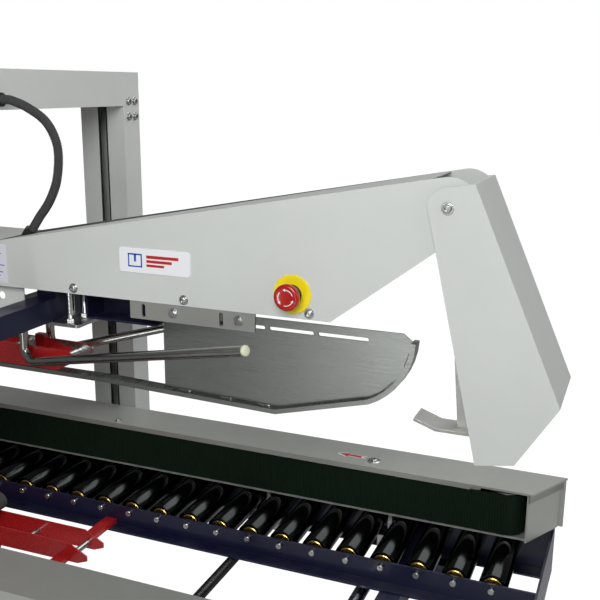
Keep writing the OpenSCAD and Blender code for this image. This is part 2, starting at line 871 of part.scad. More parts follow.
module guide_posts() {
    color(steel) block([28, 94], [-46, 40], [beam_z0 - 6, beam_z0]);
    color(chrome)
        for (y = [-20.5, 20.5]) bar_z(7.5, 62, y, [beam_z0, spine_z0]);
}

module name_plate() {
    color("white") slab_y([-side_y - 1.5, -side_y]) translate(plate_at - [64, 20])
        square([128, 40]);
}

module cover_bolts() {
    color(steel) for (x = bolt_xs, s = [near, far]) on_side(-s) {
        bolt_y(x, cover_z + bolt_lift, -side_y);
        bar_y(3.9, x, cover_z + bolt_lift, [-side_y, -spine_half - 8]);
    }
}

estop_stem_r = 6;

module estop_base() {
    color([0.95, 0.8, 0.1]) difference() {
        bar_y(30, estop[0], estop[1], [-side_y - 2, -side_y]);
        bar_y(estop_stem_r + fit, estop[0], estop[1], [-side_y - 3, -side_y + 1]);
    }
    color(black) difference() {
        union() {
            bar_y(13, estop[0], estop[1], [-side_y - 8, -side_y - 2]);
            bar_y(10.9, estop[0], estop[1], [-side_y, -side_y + 4]);
            block([estop[0] - 18, estop[0] + 18], [-side_y + 4, -spine_half - 2],
                  [estop[1] - 22, estop[1] + 18]);
        }
        bar_y(estop_stem_r + fit, estop[0], estop[1], [-side_y - 9, -side_y + 28]);
    }
}

module estop_button() {
    color(red) {
        bar_y(20, estop[0], estop[1], [-side_y - 28, -side_y - 18]);
        translate([estop[0], -side_y - 18, estop[1]]) rotate([90, 0, 0])
            translate([0, 0, -3]) cylinder(r1 = 15, r2 = 20, h = 3);
        bar_y(estop_stem_r, estop[0], estop[1], [-side_y - 15.5, -side_y + 20]);
    }
}

// ---- Conduit ----

function unit(v) = v / norm(v);
function ring_dir(p, i) = unit(p[min(i + 1, len(p) - 1)] - p[max(i - 1, 0)]);
// Points on a smooth curve through the route, four to each stretch.
function smooth(p, steps) = concat([for (i = [0:len(p) - 2], k = [0:steps - 1])
    let (t = k / steps, a = p[max(i - 1, 0)], b = p[i], c = p[i + 1],
         d = p[min(i + 2, len(p) - 1)])
    0.5 * (2 * b + (c - a) * t + (2 * a - 5 * b + 4 * c - d) * t * t
           + (3 * b - a - 3 * c + d) * t * t * t)], [p[len(p) - 1]]);

module air_conduit() {
    path = smooth(conduit_route, 3);
    n = len(path);
    sides = 10;
    points = [for (i = [0:n - 1], k = [0:sides - 1])
        let (d = ring_dir(path, i), side = [-d[1], d[0]], a = 360 * k / sides)
        [path[i][0] + conduit_r * cos(a) * side[0], conduit_y + conduit_r * sin(a),
         path[i][1] + conduit_r * cos(a) * side[1]]];
    walls = [for (i = [0:n - 2], k = [0:sides - 1])
        let (m = (k + 1) % sides)
        [i * sides + k, i * sides + m, (i + 1) * sides + m, (i + 1) * sides + k]];
    color(black) polyhedron(points, concat(walls,
        [[for (k = [sides - 1:-1:0]) k]], [[for (k = [0:sides - 1]) (n - 1) * sides + k]]));
}

// ---- Kicker ----

module kicker_hood_2d() {
    translate([kicker_x, kicker_z]) circle(28);
    polygon([
        [kicker_x - 28, kicker_z], [kicker_x + 56, kicker_z - 365],
        [kicker_x + 111, kicker_z - 356], [kicker_x + 167, kicker_z - 264],
        [kicker_x + 36, kicker_z + 34], [kicker_x - 3, kicker_z + 28]
    ]);
}

module kicker_hood() {
    color(paint) {
        for (s = [near, far]) on_side(s) difference() {
            slab_y([hood_y, hood_y + sheet]) kicker_hood_2d();
            bar_y(kicker_shaft_d / 2, kicker_x, kicker_z, [hood_y - 1, hood_y + 3]);
        }
        slab_y([-hood_y, hood_y]) polygon([
            [kicker_x + 36, kicker_z + 34], [kicker_x + 33.8, kicker_z + 34],
            [kicker_x + 164.8, kicker_z - 264], [kicker_x + 167, kicker_z - 264]
        ]);
    }
}

arm_w = 36;

module kicker_arm() {
    foot_z = kicker_z - 344;
    color(steel) {
        difference() {
            union() {
                bar_y(17, kicker_x, kicker_z, [-12, 5]);
                slab_y([-4, 4]) polygon([
                    [kicker_x - 15, kicker_z], [kicker_x + 15, foot_z + 5],
                    [kicker_x + 15 + arm_w, foot_z + 5], [kicker_x + 15, kicker_z]
                ]);
            }
            bar_y(kicker_shaft_d / 2, kicker_x, kicker_z, [-13, 6]);
        }
        slab_y([-23, 23]) polygon([
            [kicker_x - 49, foot_z + 12], [kicker_x - 15, foot_z], [kicker_x + 76, foot_z],
            [kicker_x + 76, foot_z + 5], [kicker_x - 14, foot_z + 5], [kicker_x - 48, foot_z + 17]
        ]);
    }
}

lever_y = [6, 13];
lever_hub_r = 13;
lever_eye_r = 8;
lever_half = 5.5;
slot_y = [16, 24];

module kicker_shaft() {
    pin = [kicker_x, kicker_z] + lever_r * [cos(lever_angle), sin(lever_angle)];
    color(steel) {
        bar_y(kicker_shaft_d / 2, kicker_x, kicker_z, [-hood_y - 12, hood_y + 12]);
        for (s = [-1, 1]) on_side(s) {
            bar_y(13, kicker_x, kicker_z, [hood_y + sheet, hood_y + sheet + 2]);
            translate([kicker_x, hood_y + sheet + 2, kicker_z]) rotate([-90, 0, 0])
                cylinder(r = 10, h = 6, $fn = 6);
        }
        // The lever is welded to the shaft.
        slab_y(lever_y) {
            translate([kicker_x, kicker_z]) circle(lever_hub_r);
            translate(pin) circle(lever_eye_r);
            translate([kicker_x, kicker_z]) rotate(lever_angle)
                translate([0, -lever_half]) square([lever_r, 2 * lever_half]);
        }
        bar_y(pin_r, pin[0], pin[1], [lever_y[1], slot_y[1] + 1]);
    }
}

// The lever hangs from the shaft, half the swing before the square position.
lever_angle = arm_rise - 90 - kick_swing / 2;

// Draws in the cylinder's own frame: x along the rod, z away from the cover's top.
module along_arm() {
    translate([kicker_x, 0, kicker_z]) rotate([0, -arm_rise, 0]) translate([0, 0, -kick_offset])
        children();
}

cyl_front = pin_rest - 26;

module kicker_cylinder() {
    color(chrome) along_arm() difference() {
        bar_x(cyl_r, cyl_y, 0, [cyl_front - cylinder_l, cyl_front]);
        bar_x(kicker_rod_r + fit, cyl_y, 0, [cyl_front - cylinder_l + 8, cyl_front + 1]);
    }
    rear = cyl_front - cylinder_l;
    x = kicker_x + rear * cos(arm_rise) - 26;
    color(steel) {
        along_arm() block([rear - 12, rear], [cyl_y - 20, cyl_y + 20], [-20, 20]);
        block([x - 6, x + 2], [cyl_y - 20, cyl_y + 20], [spine_z1, kicker_z - kick_offset - 46]);
        block([spine_in_x - 60, x + 2], [0, spine_half], [spine_z1, spine_z1 + 6]);
    }
}

module kicker_rod() {
    slot_half = pin_r + pin_slack;
    high = lever_r * (1 - cos(kick_swing / 2)) / 2 + 1;
    color(chrome) along_arm() {
        bar_x(kicker_rod_r, cyl_y, 0, [cyl_front - 60, pin_rest - 12]);
        difference() {
            block([pin_rest - 14, pin_rest + 10], slot_y, [-15, 15]);
            slab_y([slot_y[0] - 1, slot_y[1] + 1]) link_2d([pin_rest, -high], [pin_rest, high],
                                                            slot_half);
        }
    }
}

// ---- Tape units ----

// Draws a unit's parts at heights above the carton's face: up for the upper unit, and
// turned over, face up, for the lower one.
module in_unit(upper) {
    if (upper) translate([0, 0, top_z]) children();
    else translate([0, 0, bed_z]) mirror([0, 0, 1]) children();
}

module unit_plate_2d() {
    polygon([
        [-450, 32], [-436, 20], [30, 20], [71, 40], [71, 50], [50, 58], [-130, 60],
        [-142, 98], [-420, 98], [-450, 76]
    ]);
}

module unit_frame() {
    for (s = [near, far]) on_side(s) {
        color(red) difference() {
            slab_y([unit_y0, unit_y1]) unit_plate_2d();
            for (p = [front_pivot, rear_pivot, knife_pivot])
                bar_y(pivot_r, p[0], p[1], [unit_y0 - 1, unit_y1 + 1]);
        }
        color(steel) for (p = [front_pivot, rear_pivot])
            bar_y(pivot_r, p[0], p[1], [arm_y0 - 1, unit_y1 + 3]);
    }
    color(steel) {
        bar_y(pivot_r, knife_pivot[0], knife_pivot[1], [-unit_y1 - 3, unit_y1 + 3]);
        for (p = [[40, 42], [-80, 44], [-182, 88], [-436, 50], [-380, 88]])
            bar_y(6, p[0], p[1], [-unit_y0, unit_y0]);
    }
}

module upper_unit_frame() {
    in_unit(true) unit_frame();
    color(red) for (s = [near, far]) on_side(s)
        for (x = [-194, -420])
            block([x, x + 44], [unit_y0, unit_y1], [top_z + 98, spine_z0]);
    color(steel) block([-46, -26], [unit_y0 - 12, unit_y0], [top_z + 20, top_z + 68]);
}

module lower_unit_frame() {
    in_unit(false) unit_frame();
    color(red) for (s = [near, far]) on_side(s)
        for (x = [-400, 10])
            block([x, x + 24], [unit_y1, centre_half], [bed_z - 54, bed_z - 44]);
    color(red) slab_y([unit_y1, unit_y1 + mast_t])
        link_2d([roll_x, bed_z - 70], [roll_x, lower_roll_z], 24);
    color(red) difference() {
        bar_y(roll_core_r - 0.1, roll_x, lower_roll_z, [-unit_y0 + 1, unit_y1]);
        bar_y(roll_core_r - 8, roll_x, lower_roll_z, [-unit_y0, unit_y1 - 6]);
    }
}

// An arm of two links from its pivot to its roller, with the roller on its axle.
module tape_arm(pivot, roller) {
    color(steel) {
        for (s = [near, far]) on_side(s) difference() {
            slab_y([arm_y0, arm_y1]) link_2d(pivot, roller, 11);
            bar_y(pivot_r + fit, pivot[0], pivot[1], [arm_y0 - 1, arm_y1 + 1]);
        }
        bar_y(5, roller[0], roller[1], [-arm_y0, arm_y0]);
    }
    color(black) difference() {
        bar_y(tape_roller_d / 2, roller[0], roller[1], [-arm_y0 + 1, arm_y0 - 1]);
        bar_y(5 + fit, roller[0], roller[1], [-arm_y0, arm_y0]);
    }
}

module knife_arm() {
    color(steel) {
        difference() {
            slab_y([-11, 11]) link_2d(knife_pivot, knife_tip, 8);
            bar_y(pivot_r + fit, knife_pivot[0], knife_pivot[1], [-12, 12]);
        }
        translate([knife_pivot[0], 0.5, knife_pivot[1]]) rotate([90, 0, 0])
            rotate(atan2(knife_tip[1] - knife_pivot[1], knife_tip[0] - knife_pivot[0]))
                linear_extrude(1) polygon([[50, -8], [80, -8], [84, -22], [60, -22]]);
    }
}

module tape_roll(z) {
    color([0.78, 0.68, 0.5]) difference() {
        bar_y(tape_roll_d / 2, roll_x, z, [-unit_y0 + 1, unit_y0 - 1]);
        bar_y(roll_core_r, roll_x, z, [-unit_y0, unit_y0]);
    }
}

module upper_front_arm() { in_unit(true) tape_arm(front_pivot, front_roller); }
module upper_rear_arm() { in_unit(true) tape_arm(rear_pivot, rear_roller); }
module upper_knife_arm() { in_unit(true) knife_arm(); }
module upper_tape_roll() { tape_roll(upper_roll_z); }
module lower_front_arm() { in_unit(false) tape_arm(front_pivot, front_roller); }
module lower_rear_arm() { in_unit(false) tape_arm(rear_pivot, rear_roller); }
module lower_knife_arm() { in_unit(false) knife_arm(); }
module lower_tape_roll() { tape_roll(lower_roll_z); }

// ---- Bolts and controls ----

module frame_bolts() {
    color(steel) {
        for (s = [near, far], z = [bed_z - 90, bed_z - 30], x = [column_x - 30, column_x + 30])
            on_side(s) bar_y(6, x, z, [bed_half - channel_t - 8, bed_half - channel_t]);
        // Bolts on the infeed face where each column meets the crossbar.
        for (s = [near, far], z = [crossbar_z - 22, crossbar_z + 10], y = [18, 42])
            bar_x(6, s * (bed_half + y), z,
                  [column_x + column_w / 2, column_x + column_w / 2 + 6]);
    }
}

module control_box() {
    x = [box_x, box_x + box_w];
    y = [box_y0, box_y0 + box_d];
    color(paint) difference() {
        block(x, y, [box_z0, box_z1]);
        block([x[0] + 2, x[1] - 2], [y[0] - 1, y[1] - 2], [box_z0 + 2, box_z1 - 2]);
    }
    color(paint)
        for (z = [box_z0 + 16, box_z1 - 28]) {
            block([hinge_x - 5, hinge_x + 4.5], [box_y0 - 7, box_y0 + 8], [z, z + 12]);
            block([hinge_x, box_x], [box_y0, box_y0 + 8], [z, z + 12]);
        }
    color(steel) bar_z(pin_hinge_r, hinge_x, hinge_y, [box_z0 + 16, box_z1 - 16]);
}

pin_hinge_r = 3.5;
switch_x = box_x + box_w - 70;
switch_z = box_z1 - 60;
start_z = box_z1 - 130;

module control_door() {
    color(paint) difference() {
        union() {
            block([box_x + 1, box_x + box_w - 1], [box_y0 - door_t, box_y0 - 1],
                  [box_z0 + 2, box_z1 - 2]);
            for (z = [box_z0 + 30, box_z1 - 70]) {
                bar_z(6, hinge_x, hinge_y, [z, z + 40]);
                block([hinge_x, box_x + 2], [hinge_y - 4, hinge_y], [z, z + 40]);
            }
        }
        bar_z(pin_hinge_r + fit, hinge_x, hinge_y, [box_z0, box_z1]);
        bar_y(8, switch_x, switch_z, [box_y0 - 10, box_y0 + 1]);
        bar_y(8, switch_x, start_z, [box_y0 - 10, box_y0 + 1]);
    }
    color(black) for (z = [switch_z, start_z]) difference() {
        bar_y(7.95, switch_x, z, [box_y0 - door_t, box_y0 + 30]);
        bar_y(5 + fit, switch_x, z, [box_y0 - door_t - 1, box_y0 + 24]);
    }
}

module mode_switch() {
    y = box_y0 - door_t;
    color(black) {
        bar_y(5, switch_x, switch_z, [y - 2, y + 20]);
        bar_y(13, switch_x, switch_z, [y - 6, y - 2]);
        block([switch_x - 4, switch_x + 4], [y - 20, y - 6], [switch_z - 12, switch_z + 12]);
    }
}

module start_button() {
    y = box_y0 - door_t;
    color([0.1, 0.5, 0.2]) {
        bar_y(5, switch_x, start_z, [y - 5, y + 18]);
        bar_y(13, switch_x, start_z, [y - 14, y - 5]);
    }
}

bed_frame();
bed_side_plates();
bed_flanges();
bed_rollers_near();
bed_rollers_far();
under_frame();
height_legs();
levelling_feet();
columns();
crossbar();
lift_chain();
width_guides();
frame_bolts();
control_box();
control_door();
mode_switch();
start_button();
lift_screw_near();
lift_screw_far();
lift_crank();
width_screw();
width_handwheel();
lift_carriage();
head_spine();
head_sides();
head_top_cover();
sled_bracket();
sled();
side_guide_rods();
guide_posts();
name_plate();
cover_bolts();
estop_base();
estop_button();
air_conduit();
kicker_hood();
kicker_arm();
kicker_shaft();
kicker_cylinder();
kicker_rod();
rail_near();
side_belt_near();
drive_pulley_near();
idler_pulley_near();
belt_motor_near();
rail_far();
side_belt_far();
drive_pulley_far();
idler_pulley_far();
belt_motor_far();
upper_unit_frame();
upper_front_arm();
upper_rear_arm();
upper_knife_arm();
upper_tape_roll();
lower_unit_frame();
lower_front_arm();
lower_rear_arm();
lower_knife_arm();
lower_tape_roll();
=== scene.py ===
"""Looks of a side-belt carton sealer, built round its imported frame.

+X is the infeed end, +Y the far side and +Z up. Sizes here are in millimetres, and a piece is put
into metres as its mesh is made. Each sub-assembly is a class whose methods make its meshes and
dress them. Every piece rides on a body of the frame.
"""

import json
import logging
import math
from dataclasses import dataclass, field
from enum import Enum
from typing import Callable, Sequence

import bmesh
import bpy
import numpy as np
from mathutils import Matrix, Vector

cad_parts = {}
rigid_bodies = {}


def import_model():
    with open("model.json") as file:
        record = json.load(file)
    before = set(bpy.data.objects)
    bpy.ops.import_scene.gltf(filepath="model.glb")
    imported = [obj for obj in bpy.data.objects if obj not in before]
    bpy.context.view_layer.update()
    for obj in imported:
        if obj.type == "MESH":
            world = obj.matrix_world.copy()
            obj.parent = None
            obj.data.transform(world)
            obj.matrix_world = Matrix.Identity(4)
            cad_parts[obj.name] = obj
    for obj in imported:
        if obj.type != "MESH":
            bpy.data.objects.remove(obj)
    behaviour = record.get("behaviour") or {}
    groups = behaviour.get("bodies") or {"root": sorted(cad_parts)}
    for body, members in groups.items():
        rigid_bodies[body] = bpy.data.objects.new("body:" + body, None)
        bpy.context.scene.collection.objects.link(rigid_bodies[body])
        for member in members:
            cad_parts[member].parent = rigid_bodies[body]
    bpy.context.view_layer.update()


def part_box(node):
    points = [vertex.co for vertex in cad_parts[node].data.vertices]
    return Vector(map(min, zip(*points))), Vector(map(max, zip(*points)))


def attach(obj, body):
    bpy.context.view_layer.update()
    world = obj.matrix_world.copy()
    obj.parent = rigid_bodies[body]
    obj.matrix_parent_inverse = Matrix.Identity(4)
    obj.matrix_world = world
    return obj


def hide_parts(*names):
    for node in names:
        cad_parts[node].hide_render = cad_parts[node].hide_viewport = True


LOG = logging.getLogger("carton_sealer")
MM = 0.001
TAU = 2 * math.pi
X_AXIS, Y_AXIS, Z_AXIS = np.eye(3)
Faces = list[tuple[int, ...]]
Place = Sequence[float]
Colour = tuple[float, float, float]


class Side(Enum):
    """The side of the machine: near has negative y."""

    NEAR = -1
    FAR = 1

    @property
    def word(self) -> str:
        """The side's name as node names use it."""
        return self.name.lower()


class Unit(Enum):
    """The tape unit: the upper one hangs in the head, the lower one stands in the bed."""

    UPPER = 1
    LOWER = -1

    @property
    def word(self) -> str:
        """The unit's name as node names use it."""
        return self.name.lower()


# ---- Surfaces ----


@dataclass
class Shape:
    """Points of a surface and its faces as tuples of point numbers."""

    points: np.ndarray
    faces: Faces

    def mirrored(self) -> "Shape":
        """The same shape on the other side of the plane y = 0."""
        return Shape(self.points * (1, -1, 1), self.faces)


def repeated(shape: Shape, offsets: np.ndarray) -> Shape:
    """Copies of a shape at each offset: point + offset, for all pairs at once.

    Args:
        shape: The shape to copy.
        offsets: One row of x, y, z for each copy.

    Returns:
        One shape with all the copies.
    """
    count = len(shape.points)
    points = (offsets[:, None, :] + shape.points[None, :, :]).reshape(-1, 3)
    faces = [tuple(p + k * count for p in face) for k in range(len(offsets)) for face in shape.faces]
    return Shape(points, faces)


def grid(points: np.ndarray, loop_rows: bool = False, loop_cols: bool = True, caps: bool = True) -> Shape:
    """Faces over a grid of points, each square joined to the next row and column.

    Args:
        points: Rows by columns by 3.
        loop_rows: Whether the last row joins the first.
        loop_cols: Whether the last column joins the first.
        caps: Whether the first and last rows are closed with one face each.

    Returns:
        The surface.
    """
    rows, cols = points.shape[:2]
    i = np.arange(rows if loop_rows else rows - 1)[:, None]
    j = np.arange(cols if loop_cols else cols - 1)[None, :]
    down, right = (i + 1) % rows, (j + 1) % cols
    quads = np.stack([i * cols + j, i * cols + right, down * cols + right, down * cols + j], -1)
    faces = [tuple(q) for q in quads.reshape(-1, 4).tolist()]
    if caps and loop_cols and not loop_rows:
        first = tuple(range(cols))
        faces += [first[::-1], tuple((rows - 1) * cols + k for k in first)]
    return Shape(points.reshape(-1, 3).astype(float), faces)


def carried(profile: np.ndarray, path: np.ndarray, across: np.ndarray, up: np.ndarray,
            loop: bool = False) -> Shape:
    """A closed profile carried along a path: path + profile.x * across + profile.y * up.

    Args:
        profile: Points of the profile, n by 2, or one profile for each ring, m by n by 2.
        path: Places of the rings, m by 3.
        across: Direction of the profile's first number, 3 or m by 3.
        up: Direction of the profile's second number, 3 or m by 3.
        loop: Whether the path closes on itself.

    Returns:
        The surface, capped at both ends unless it loops.
    """
    rings = len(path)
    profile = np.broadcast_to(profile, (rings,) + np.shape(profile)[-2:])
    across = np.broadcast_to(across, (rings, 3))[:, None, :]
    up = np.broadcast_to(up, (rings, 3))[:, None, :]
    points = path[:, None, :] + profile[..., 0:1] * across + profile[..., 1:2] * up
    return grid(points, loop_rows=loop)


def slab(outline: np.ndarray, axis: int, low: float, high: float) -> Shape:
    """An outline in the two other axes, carried straight from low to high along an axis.

    Args:
        outline: Points n by 2, in the order of the two other axes.
        axis: 0, 1 or 2 for x, y or z.
        low: Where the slab starts.
        high: Where it ends.

    Returns:
        The closed slab.
    """
    first, second = [a for a in range(3) if a != axis]
    path = np.outer([low, high], np.eye(3)[axis])
    return carried(np.asarray(outline, float), path, np.eye(3)[first], np.eye(3)[second])


def block(x: Place, y: Place, z: Place) -> Shape:
    """A block between ranges of x, y and z."""
    return slab(rectangle(x, y), 2, *z)


def compass(turn: np.ndarray) -> np.ndarray:
    """Points one unit away at each angle: (cos a, sin a)."""
    return np.stack([np.cos(turn), np.sin(turn)], -1)


def circle(radius: float, count: int = 24, centre: Place = (0, 0)) -> np.ndarray:
    """Points on a circle: centre + radius * (cos a, sin a) over a whole turn."""
    return np.asarray(centre) + radius * compass(np.arange(count) * TAU / count)


def rounded(outline: np.ndarray, radius: float, steps: int = 5) -> np.ndarray:
    """An outline with each corner replaced by a quadratic curve.

    The curve runs from a point before the corner to one after it, both at the radius from it or
    at most 0.45 of the edge: (1-t)^2 * before + 2t(1-t) * corner + t^2 * after.

    Args:
        outline: Corner points n by 2.
        radius: Distance from the corner to the curve's ends.
        steps: Points on each curve.

    Returns:
        The rounded outline.
    """
    outline = np.asarray(outline, float)
    back = np.roll(outline, 1, 0) - outline
    ahead = np.roll(outline, -1, 0) - outline
    long_b, long_a = np.linalg.norm(back, axis=1), np.linalg.norm(ahead, axis=1)
    before = outline + back * (np.minimum(radius / long_b, 0.45))[:, None]
    after = outline + ahead * (np.minimum(radius / long_a, 0.45))[:, None]
    t = np.linspace(0, 1, steps)[None, :, None]
    curve = (1 - t) ** 2 * before[:, None] + 2 * t * (1 - t) * outline[:, None] + t**2 * after[:, None]
    return curve.reshape(-1, 2)


def rectangle(x: Place, y: Place) -> np.ndarray:
    """The corners of a rectangle between two ranges."""
    return np.array([[x[0], y[0]], [x[1], y[0]], [x[1], y[1]], [x[0], y[1]]], float)


def panel(first: Place, second: Place, radius: float, axis: int, low: float, high: float) -> Shape:
    """A rectangle with rounded corners, carried straight from low to high along an axis.

    Args:
        first: Range along the first of the two other axes.
        second: Range along the second.
        radius: Distance from each corner to its curve's ends.
        axis: 0, 1 or 2 for x, y or z.
        low: Where the panel starts.
        high: Where it ends.

    Returns:
        The closed panel.
    """
    return slab(rounded(rectangle(first, second), radius), axis, low, high)


def lathe(profile: Sequence[Place], origin: Place, axis: np.ndarray, turns: int = 32,
          hexed: Sequence[int] = (), ring: bool = False) -> Shape:
    """A profile turned round an axis: origin + along * axis + radius * (cos a * u + sin a * v).

    A hexed row's radius is divided by cos(a mod 60 - 30 degrees), which makes it a hexagon.

    Args:
        profile: Rows of radius and distance along the axis.
        origin: A point on the axis.
        axis: The axis direction.
        turns: Points round the axis.
        hexed: Numbers of the rows that are hexagons.
        ring: Whether the profile is a closed loop, as on a ring.

    Returns:
        The closed surface.
    """
    rows = np.asarray(profile, float)
    axis = np.asarray(axis, float) / np.linalg.norm(axis)
    u = np.cross(axis, X_AXIS if abs(axis[0]) < 0.9 else Z_AXIS)
    u /= np.linalg.norm(u)
    v = np.cross(axis, u)
    a = np.arange(turns) * TAU / turns
    radius = np.repeat(rows[:, 0:1], turns, 1)
    radius[list(hexed)] *= math.cos(TAU / 12) / np.cos((a % (TAU / 6)) - TAU / 12)
    around = np.cos(a)[None, :, None] * u + np.sin(a)[None, :, None] * v
    points = np.asarray(origin) + rows[:, None, 1:2] * axis + radius[..., None] * around
    return grid(points, loop_rows=ring)


def smooth_path(points: Sequence[Place], steps: int) -> np.ndarray:
    """A smooth curve through points, by the Catmull-Rom formula on each stretch.

    Args:
        points: The points that the curve passes.
        steps: Places on each stretch.

    Returns:
        The places, the last point included.
    """
    p = np.asarray(points, float)
    a, b, c, d = p[np.r_[0, 0 : len(p) - 2]], p[:-1], p[1:], p[np.r_[2 : len(p), len(p) - 1]]
    t = (np.arange(steps) / steps)[None, :, None]
    a, b, c, d = a[:, None], b[:, None], c[:, None], d[:, None]
    curve = 0.5 * (2 * b + (c - a) * t + (2 * a - 5 * b + 4 * c - d) * t**2 + (3 * b - a - 3 * c + d) * t**3)
    return np.vstack([curve.reshape(-1, 3), p[-1]])


def tube(path: np.ndarray, radius: np.ndarray | float, reference: Place, turns: int = 16) -> Shape:
    """A circle carried along a path, standing across it, with its radius set ring by ring.

    Args:
        path: Places of the rings, m by 3.
        radius: One radius, or one for each ring.
        reference: A direction that the path never takes.
        turns: Points on each ring.

    Returns:
        The tube with closed ends.
    """
    along = np.gradient(path, axis=0)
    along /= np.linalg.norm(along, axis=1)[:, None]
    across = np.cross(along, reference)
    across /= np.linalg.norm(across, axis=1)[:, None]
    up = np.cross(along, across)
    rings = circle(1, turns)[None] * np.broadcast_to(radius, len(path))[:, None, None]
    return carried(rings, path, across, up)


def even_path(path: np.ndarray, gap: float) -> tuple[np.ndarray, float]:
    """The path again with even gaps, by linear interpolation over its running length.

    Args:
        path: The places, m by 3.
        gap: The distance wanted between places.

    Returns:
        The new places and the path's length.
    """
    run = np.r_[0, np.cumsum(np.linalg.norm(np.diff(path, axis=0), axis=1))]
    want = np.linspace(0, run[-1], max(2, round(run[-1] / gap)) + 1)
    return np.stack([np.interp(want, run, path[:, k]) for k in range(3)], 1), float(run[-1])


def screw_thread(origin: Place, axis: np.ndarray, low: float, high: float, radius: float,
                 lead: float, depth: float) -> Shape:
    """A threaded bar: radius less depth * a triangle wave of (along / lead - angle / turn).

    Args:
        origin: A point on the axis from which low and high are measured.
        axis: The bar's direction.
        low: Start of the thread along the axis.
        high: End of the thread.
        radius: Outer radius.
        lead: Advance in one turn.
        depth: Depth of the groove.

    Returns:
        The threaded bar with closed ends.
    """
    turns, samples = 20, 7
    u = np.cross(axis, X_AXIS if abs(axis[0]) < 0.9 else Z_AXIS)
    v = np.cross(axis, u)
    along = np.linspace(low, high, round((high - low) / lead * samples))
    a = np.arange(turns) * TAU / turns
    phase = (along[:, None] / lead - a[None, :] / TAU) % 1
    wall = radius - depth * np.clip(4 * np.abs(phase - 0.5) - 0.5, 0, 1)
    around = np.cos(a)[:, None] * u + np.sin(a)[:, None] * v
    points = np.asarray(origin) + along[:, None, None] * axis + wall[..., None] * around[None]
    return grid(points)


# ---- Finishes ----


class Web:
    """A small helper that adds nodes to a shader tree and links them."""

    def __init__(self, tree: bpy.types.NodeTree) -> None:
        """Keeps the tree."""
        self.tree = tree

    def add(self, kind: str, **values: object) -> bpy.types.Node:
        """Adds a node.

        Args:
            kind: Blender's node type without its ShaderNode prefix.
            **values: Properties of the node, or inputs by name with spaces as underscores.

        Returns:
            The node.
        """
        node = self.tree.nodes.new("ShaderNode" + kind)
        for key, value in values.items():
            if hasattr(node, key):
                setattr(node, key, value)
            else:
                node.inputs[key.replace("_", " ")].default_value = value
        return node

    def join(self, output: bpy.types.NodeSocket, entry: bpy.types.NodeSocket) -> None:
        """Links an output to an input."""
        self.tree.links.new(output, entry)


def new_group(name: str, inputs: dict[str, tuple[str, object]], outputs: Sequence[str]) -> Web:
    """Makes an empty shader group with named sockets.

    Args:
        name: The group's name.
        inputs: For each input, its socket type and default value.
        outputs: Names of the outputs, which are all values.

    Returns:
        A web on the group, with its input and output nodes named Entry and Exit.
    """
    tree = bpy.data.node_groups.new(name, "ShaderNodeTree")
    for key, (kind, default) in inputs.items():
        socket = tree.interface.new_socket(key, in_out="INPUT", socket_type="NodeSocket" + kind)
        if default is not None:
            socket.default_value = default
    for key in outputs:
        tree.interface.new_socket(key, in_out="OUTPUT", socket_type="NodeSocketFloat")
    for kind, label in (("NodeGroupInput", "Entry"), ("NodeGroupOutput", "Exit")):
        tree.nodes.new(kind).name = label
    return Web(tree)


